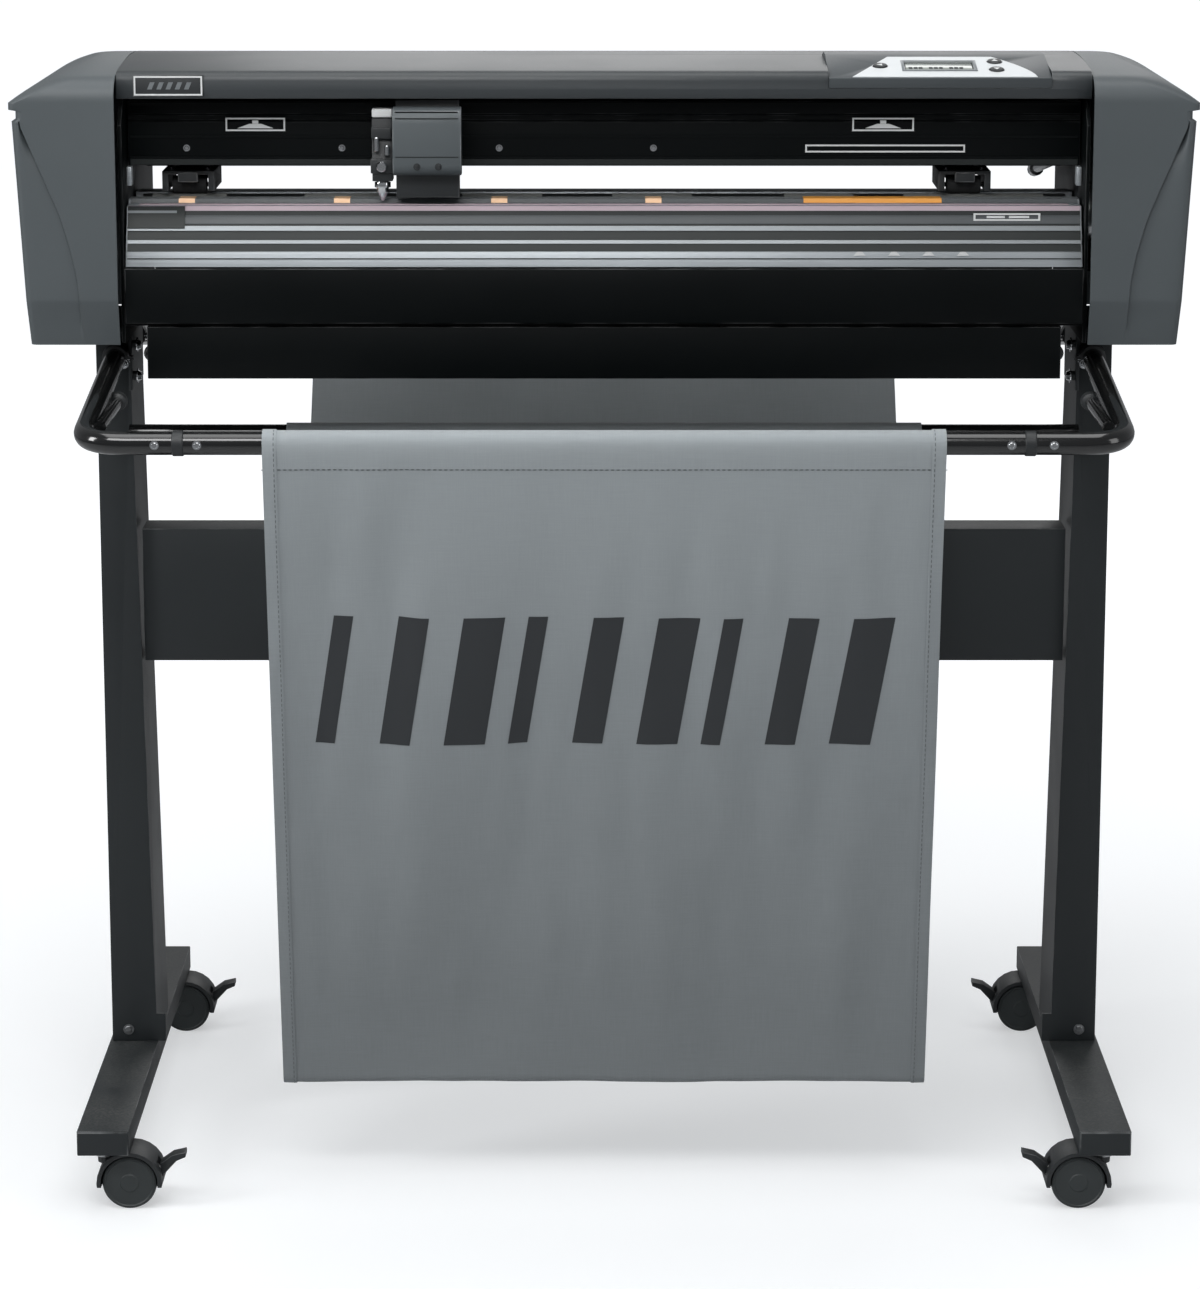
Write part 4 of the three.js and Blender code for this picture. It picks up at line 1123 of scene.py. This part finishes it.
def carriage_dress():
    low, high = box_of("carriage_cover")
    front = low.y - 0.1
    holes = [(low.x + step, front, 1020.5) for step in (24, 45)]
    screws("carriage_screws", holes, (0, -1, 0), 2.6, 1.2, "carriage", "black_plastic")
    seams = [(0.5 * (low.x + high.x), front, z) for z in (1030, 1068)]
    seam_size = (high.x - low.x - 6, 0.6, 0.8)
    ribs("carriage_seams", seams, seam_size, body="carriage", slot="cover_plastic", material="groove_dark")
    low, high = box_of("tool_holder")
    x, y = (low.x + high.x) / 2, low.y
    pins = [
        ([(2.2, 0), (2.8, 0.6), (2.8, 13), (2, 14)], (x - 5, y - 1.6, 1034), (0, 0, 1), 16),
        ([(2.2, 0), (2.8, 0.6), (2.8, 9), (2, 10)], (x + 5.5, y - 1.6, 1030), (0, 0, 1), 16),
        ([(4.4, 0), (5.2, 0.8), (5.2, 5), (4.2, 6.2)], (x, y + 0.4, 1019), (0, -1, 0), 24),
    ]
    turned_piece("tool_pins", pins, "tool", "chrome")
    cap = (x - 9.5, y + 1.5, 1067), (x + 10.5, y + 22, 1075.5)
    block_piece("tool_cap", *cap, 1.4, 3, "tool", "strip", "label_white")
    clamp = (low.x + 1, y - 2.2, 1046), (high.x - 1, y + 1, 1058)
    block_piece("tool_clamp", *clamp, 1.2, 3, "tool", "black_plastic")


def pinch_dress(side):
    arm, roller = side + "_pinch_arm", side + "_pinch_roller"
    low, high = box_of(arm)
    x = (low.x + high.x) / 2
    handle = (x - 10, low.y - 3.5, 998), (x + 10, low.y + 4, 1008.4)
    block_piece(side + "_pinch_handle", *handle, 1.2, 3, arm, "black_plastic")
    heads = [(x + step, low.y + 14, high.z + 0.2) for step in (-18, 18)]
    screws(side + "_pinch_screws", heads, (0, 0, 1), 2.4, 1.4, arm, "chrome")
    centre, _ = bar_centre(roller)
    tyres = []
    for middle in (-11, 11):
        outline = [(8.6, middle - 5), (9.15, middle - 4.2), (9.15, middle + 4.2), (8.6, middle + 5)]
        tyres.append((outline, (x, *centre), (1, 0, 0), 32))
    turned_piece(side + "_pinch_tyres", tyres, roller, "roller_rubber")


# ---- stand details ----


def foot_dress(side):
    low, high = box_of(side + "_foot")
    for end, sign in ENDS.items():
        y = sign * high.y
        face, plug = sorted([y + sign * 2.4, y]), sorted([y - sign * 12, y + sign * 0.5])
        cap = bmesh.new()
        add_block(cap, (low.x + 0.4, face[0], low.z + 0.4), (high.x - 0.4, face[1], high.z - 0.4))
        ease(cap, 1.1, 3)
        add_block(cap, (low.x + 3, plug[0], low.z + 3), (high.x - 3, plug[1], high.z - 3))
        made_piece(f"{side}_{end}_foot_cap", cap, "root", "stand_paint")


def leg_dress(side):
    sign = SIDES[side]
    low, high = box_of(side + "_leg")
    bolts = [(sign * 474, -34, z) for z in (796, 828)]
    screws(side + "_bracket_bolts", bolts, (-sign, 0, 0), 5.6, 4, slot="chrome")
    outer = sign * max(abs(low.x), abs(high.x))
    heads = [(outer, y, z) for y in (6, 44) for z in (524, 606)]
    screws(side + "_crossbar_bolts", heads, (sign, 0, 0), 5.2, 3.2)
    screws(side + "_base_bolts", [(sign * 500, low.y + 13.6, 98)], (0, -1, 0), 4.2, 2.4)
    arm_x = sign * 494
    clamp = bmesh.new()
    for end, y in (("front", -54), ("rear", 104)):
        root_z = box_of(f"{side}_{end}_arm")[1].z - 11
        collar = [(11.2, -6), (13.4, -5), (13.4, 5), (11.2, 6)]
        add_lathe(clamp, collar, (arm_x, y, root_z - 3), (0, 1, 0.13), 28)
        tab = sorted((arm_x, sign * 476))
        add_block(clamp, (tab[0], y - 5, root_z - 6), (tab[1], y + 5, root_z - 1))
    outward(clamp)
    made_piece(side + "_arm_clamps", clamp, "root", "black_plastic")
    tops = [(sign * 481, y, 816.6) for y in (-54, 104)]
    screws(side + "_clamp_bolts", tops, (0, 0, 1), 4.4, 3.4, slot="chrome")
    screws(side + "_clamp_pins", [(sign * 485, -59.6, 812)], (0, -1, 0), 3.6, 2.4, slot="chrome")


def caster(side, end):
    name = f"{end}_{side}"
    node = name + "_caster_wheels"
    low, high = box_of(node)
    centre = (low + high) / 2
    radius, half = (high.z - low.z) / 2, (high.y - low.y) / 2
    near = 4.3
    wheel = [
        (radius - 4.5, near), (radius - 1, near + 0.3), (radius, near + 2.2), (radius, half - 3.5),
        (radius - 0.8, half - 1.4), (radius - 3, half - 0.5), (radius - 4, half - 1.5), (radius - 6, half - 1.7),
        (9.5, half - 0.9), (8.5, half - 0.1), (3, half),
    ]
    pair = [(wheel, centre, (0, sign, 0), 48) for sign in (-1, 1)]
    pair.append(([(4, -near - 1), (4, near + 1)], centre, (0, 1, 0), 20))
    turned_piece(name + "_wheel_pair", pair, name + "_wheels", "wheel_plastic", [node], 26)
    outline = [(9.2, 51), (12.5, 51.6), (13, 53), (13, 57.6), (12, 59.4), (9, 59.6)]
    stem = (SIDES[side] * 494.5, ENDS[end] * 270, 0)
    turned_piece(name + "_swivel_ring", [(outline, stem, (0, 0, 1), 32)], name + "_caster", "steel")


# ---- rear of the head ----


def rear_dress():
    wall = box_of("base_frame")[1].y
    slots = [(60 + 14 * k, wall + 0.2, 926) for k in range(20)]
    ribs("rear_vents", slots, (4, 0.6, 34), slot="head_paint", material="ink")
    low, high = box_of("power_inlet")
    corners = [(low.x + 4.5, high.y, z) for z in (low.z + 4.5, high.z - 4.5)]
    screws("inlet_screws", corners, (0, 1, 0), 2, 1.2)
    heads = [(x, wall, z) for x in (-462, -200, 0, 380, 462) for z in (876, 948)]
    screws("rear_wall_screws", heads, (0, 1, 0), 2.8, 1.6, slot="chrome")
    for side, sign in SIDES.items():
        heads = [(sign * 520, 150, z) for z in (905, 1040)]
        screws(side + "_cover_screws", heads, (0, 1, 0), 3, 1.4, slot="chrome")
    ports = [bordered(-300, -286, 892, 904, 2), bordered(-275, -258, 890, 906, 2)]
    plate("data_ports", ports, facing_rear(wall), 2.2, "steel")


# ---- build ----

camera()
studio()
floor()
bars = ("front_bar", "middle_bar", "rear_bar")
own_shape = {"left_cover", "right_cover", "cloth_basket", *bars}
own_shape |= {f"{side}_{end}_arm" for side in SIDES for end in ENDS}
own_shape |= {f"{end}_{side}_caster_wheels" for side in SIDES for end in ENDS}
edges = {"carriage_cover": 2.2, "control_panel": 1.2, "top_cover": 0.4, "apron": 0.8, "electronics_tray": 0.8}
for node in sorted(set(nodes) - own_shape):
    refined(node, edges.get(node, 0.5), "top_plastic" if node == "top_cover" else None)
for side in SIDES:
    side_cover(side)
    foot_dress(side)
    leg_dress(side)
    pinch_dress(side)
    for end in ENDS:
        corner_arm(side, end)
        caster(side, end)
for bar in bars:
    straight_tube(bar, bar + "_tube")
basket()
panel_dress()
badge()
beam_dress()
table_dress()
drum_dress()
carriage_dress()
rear_dress()
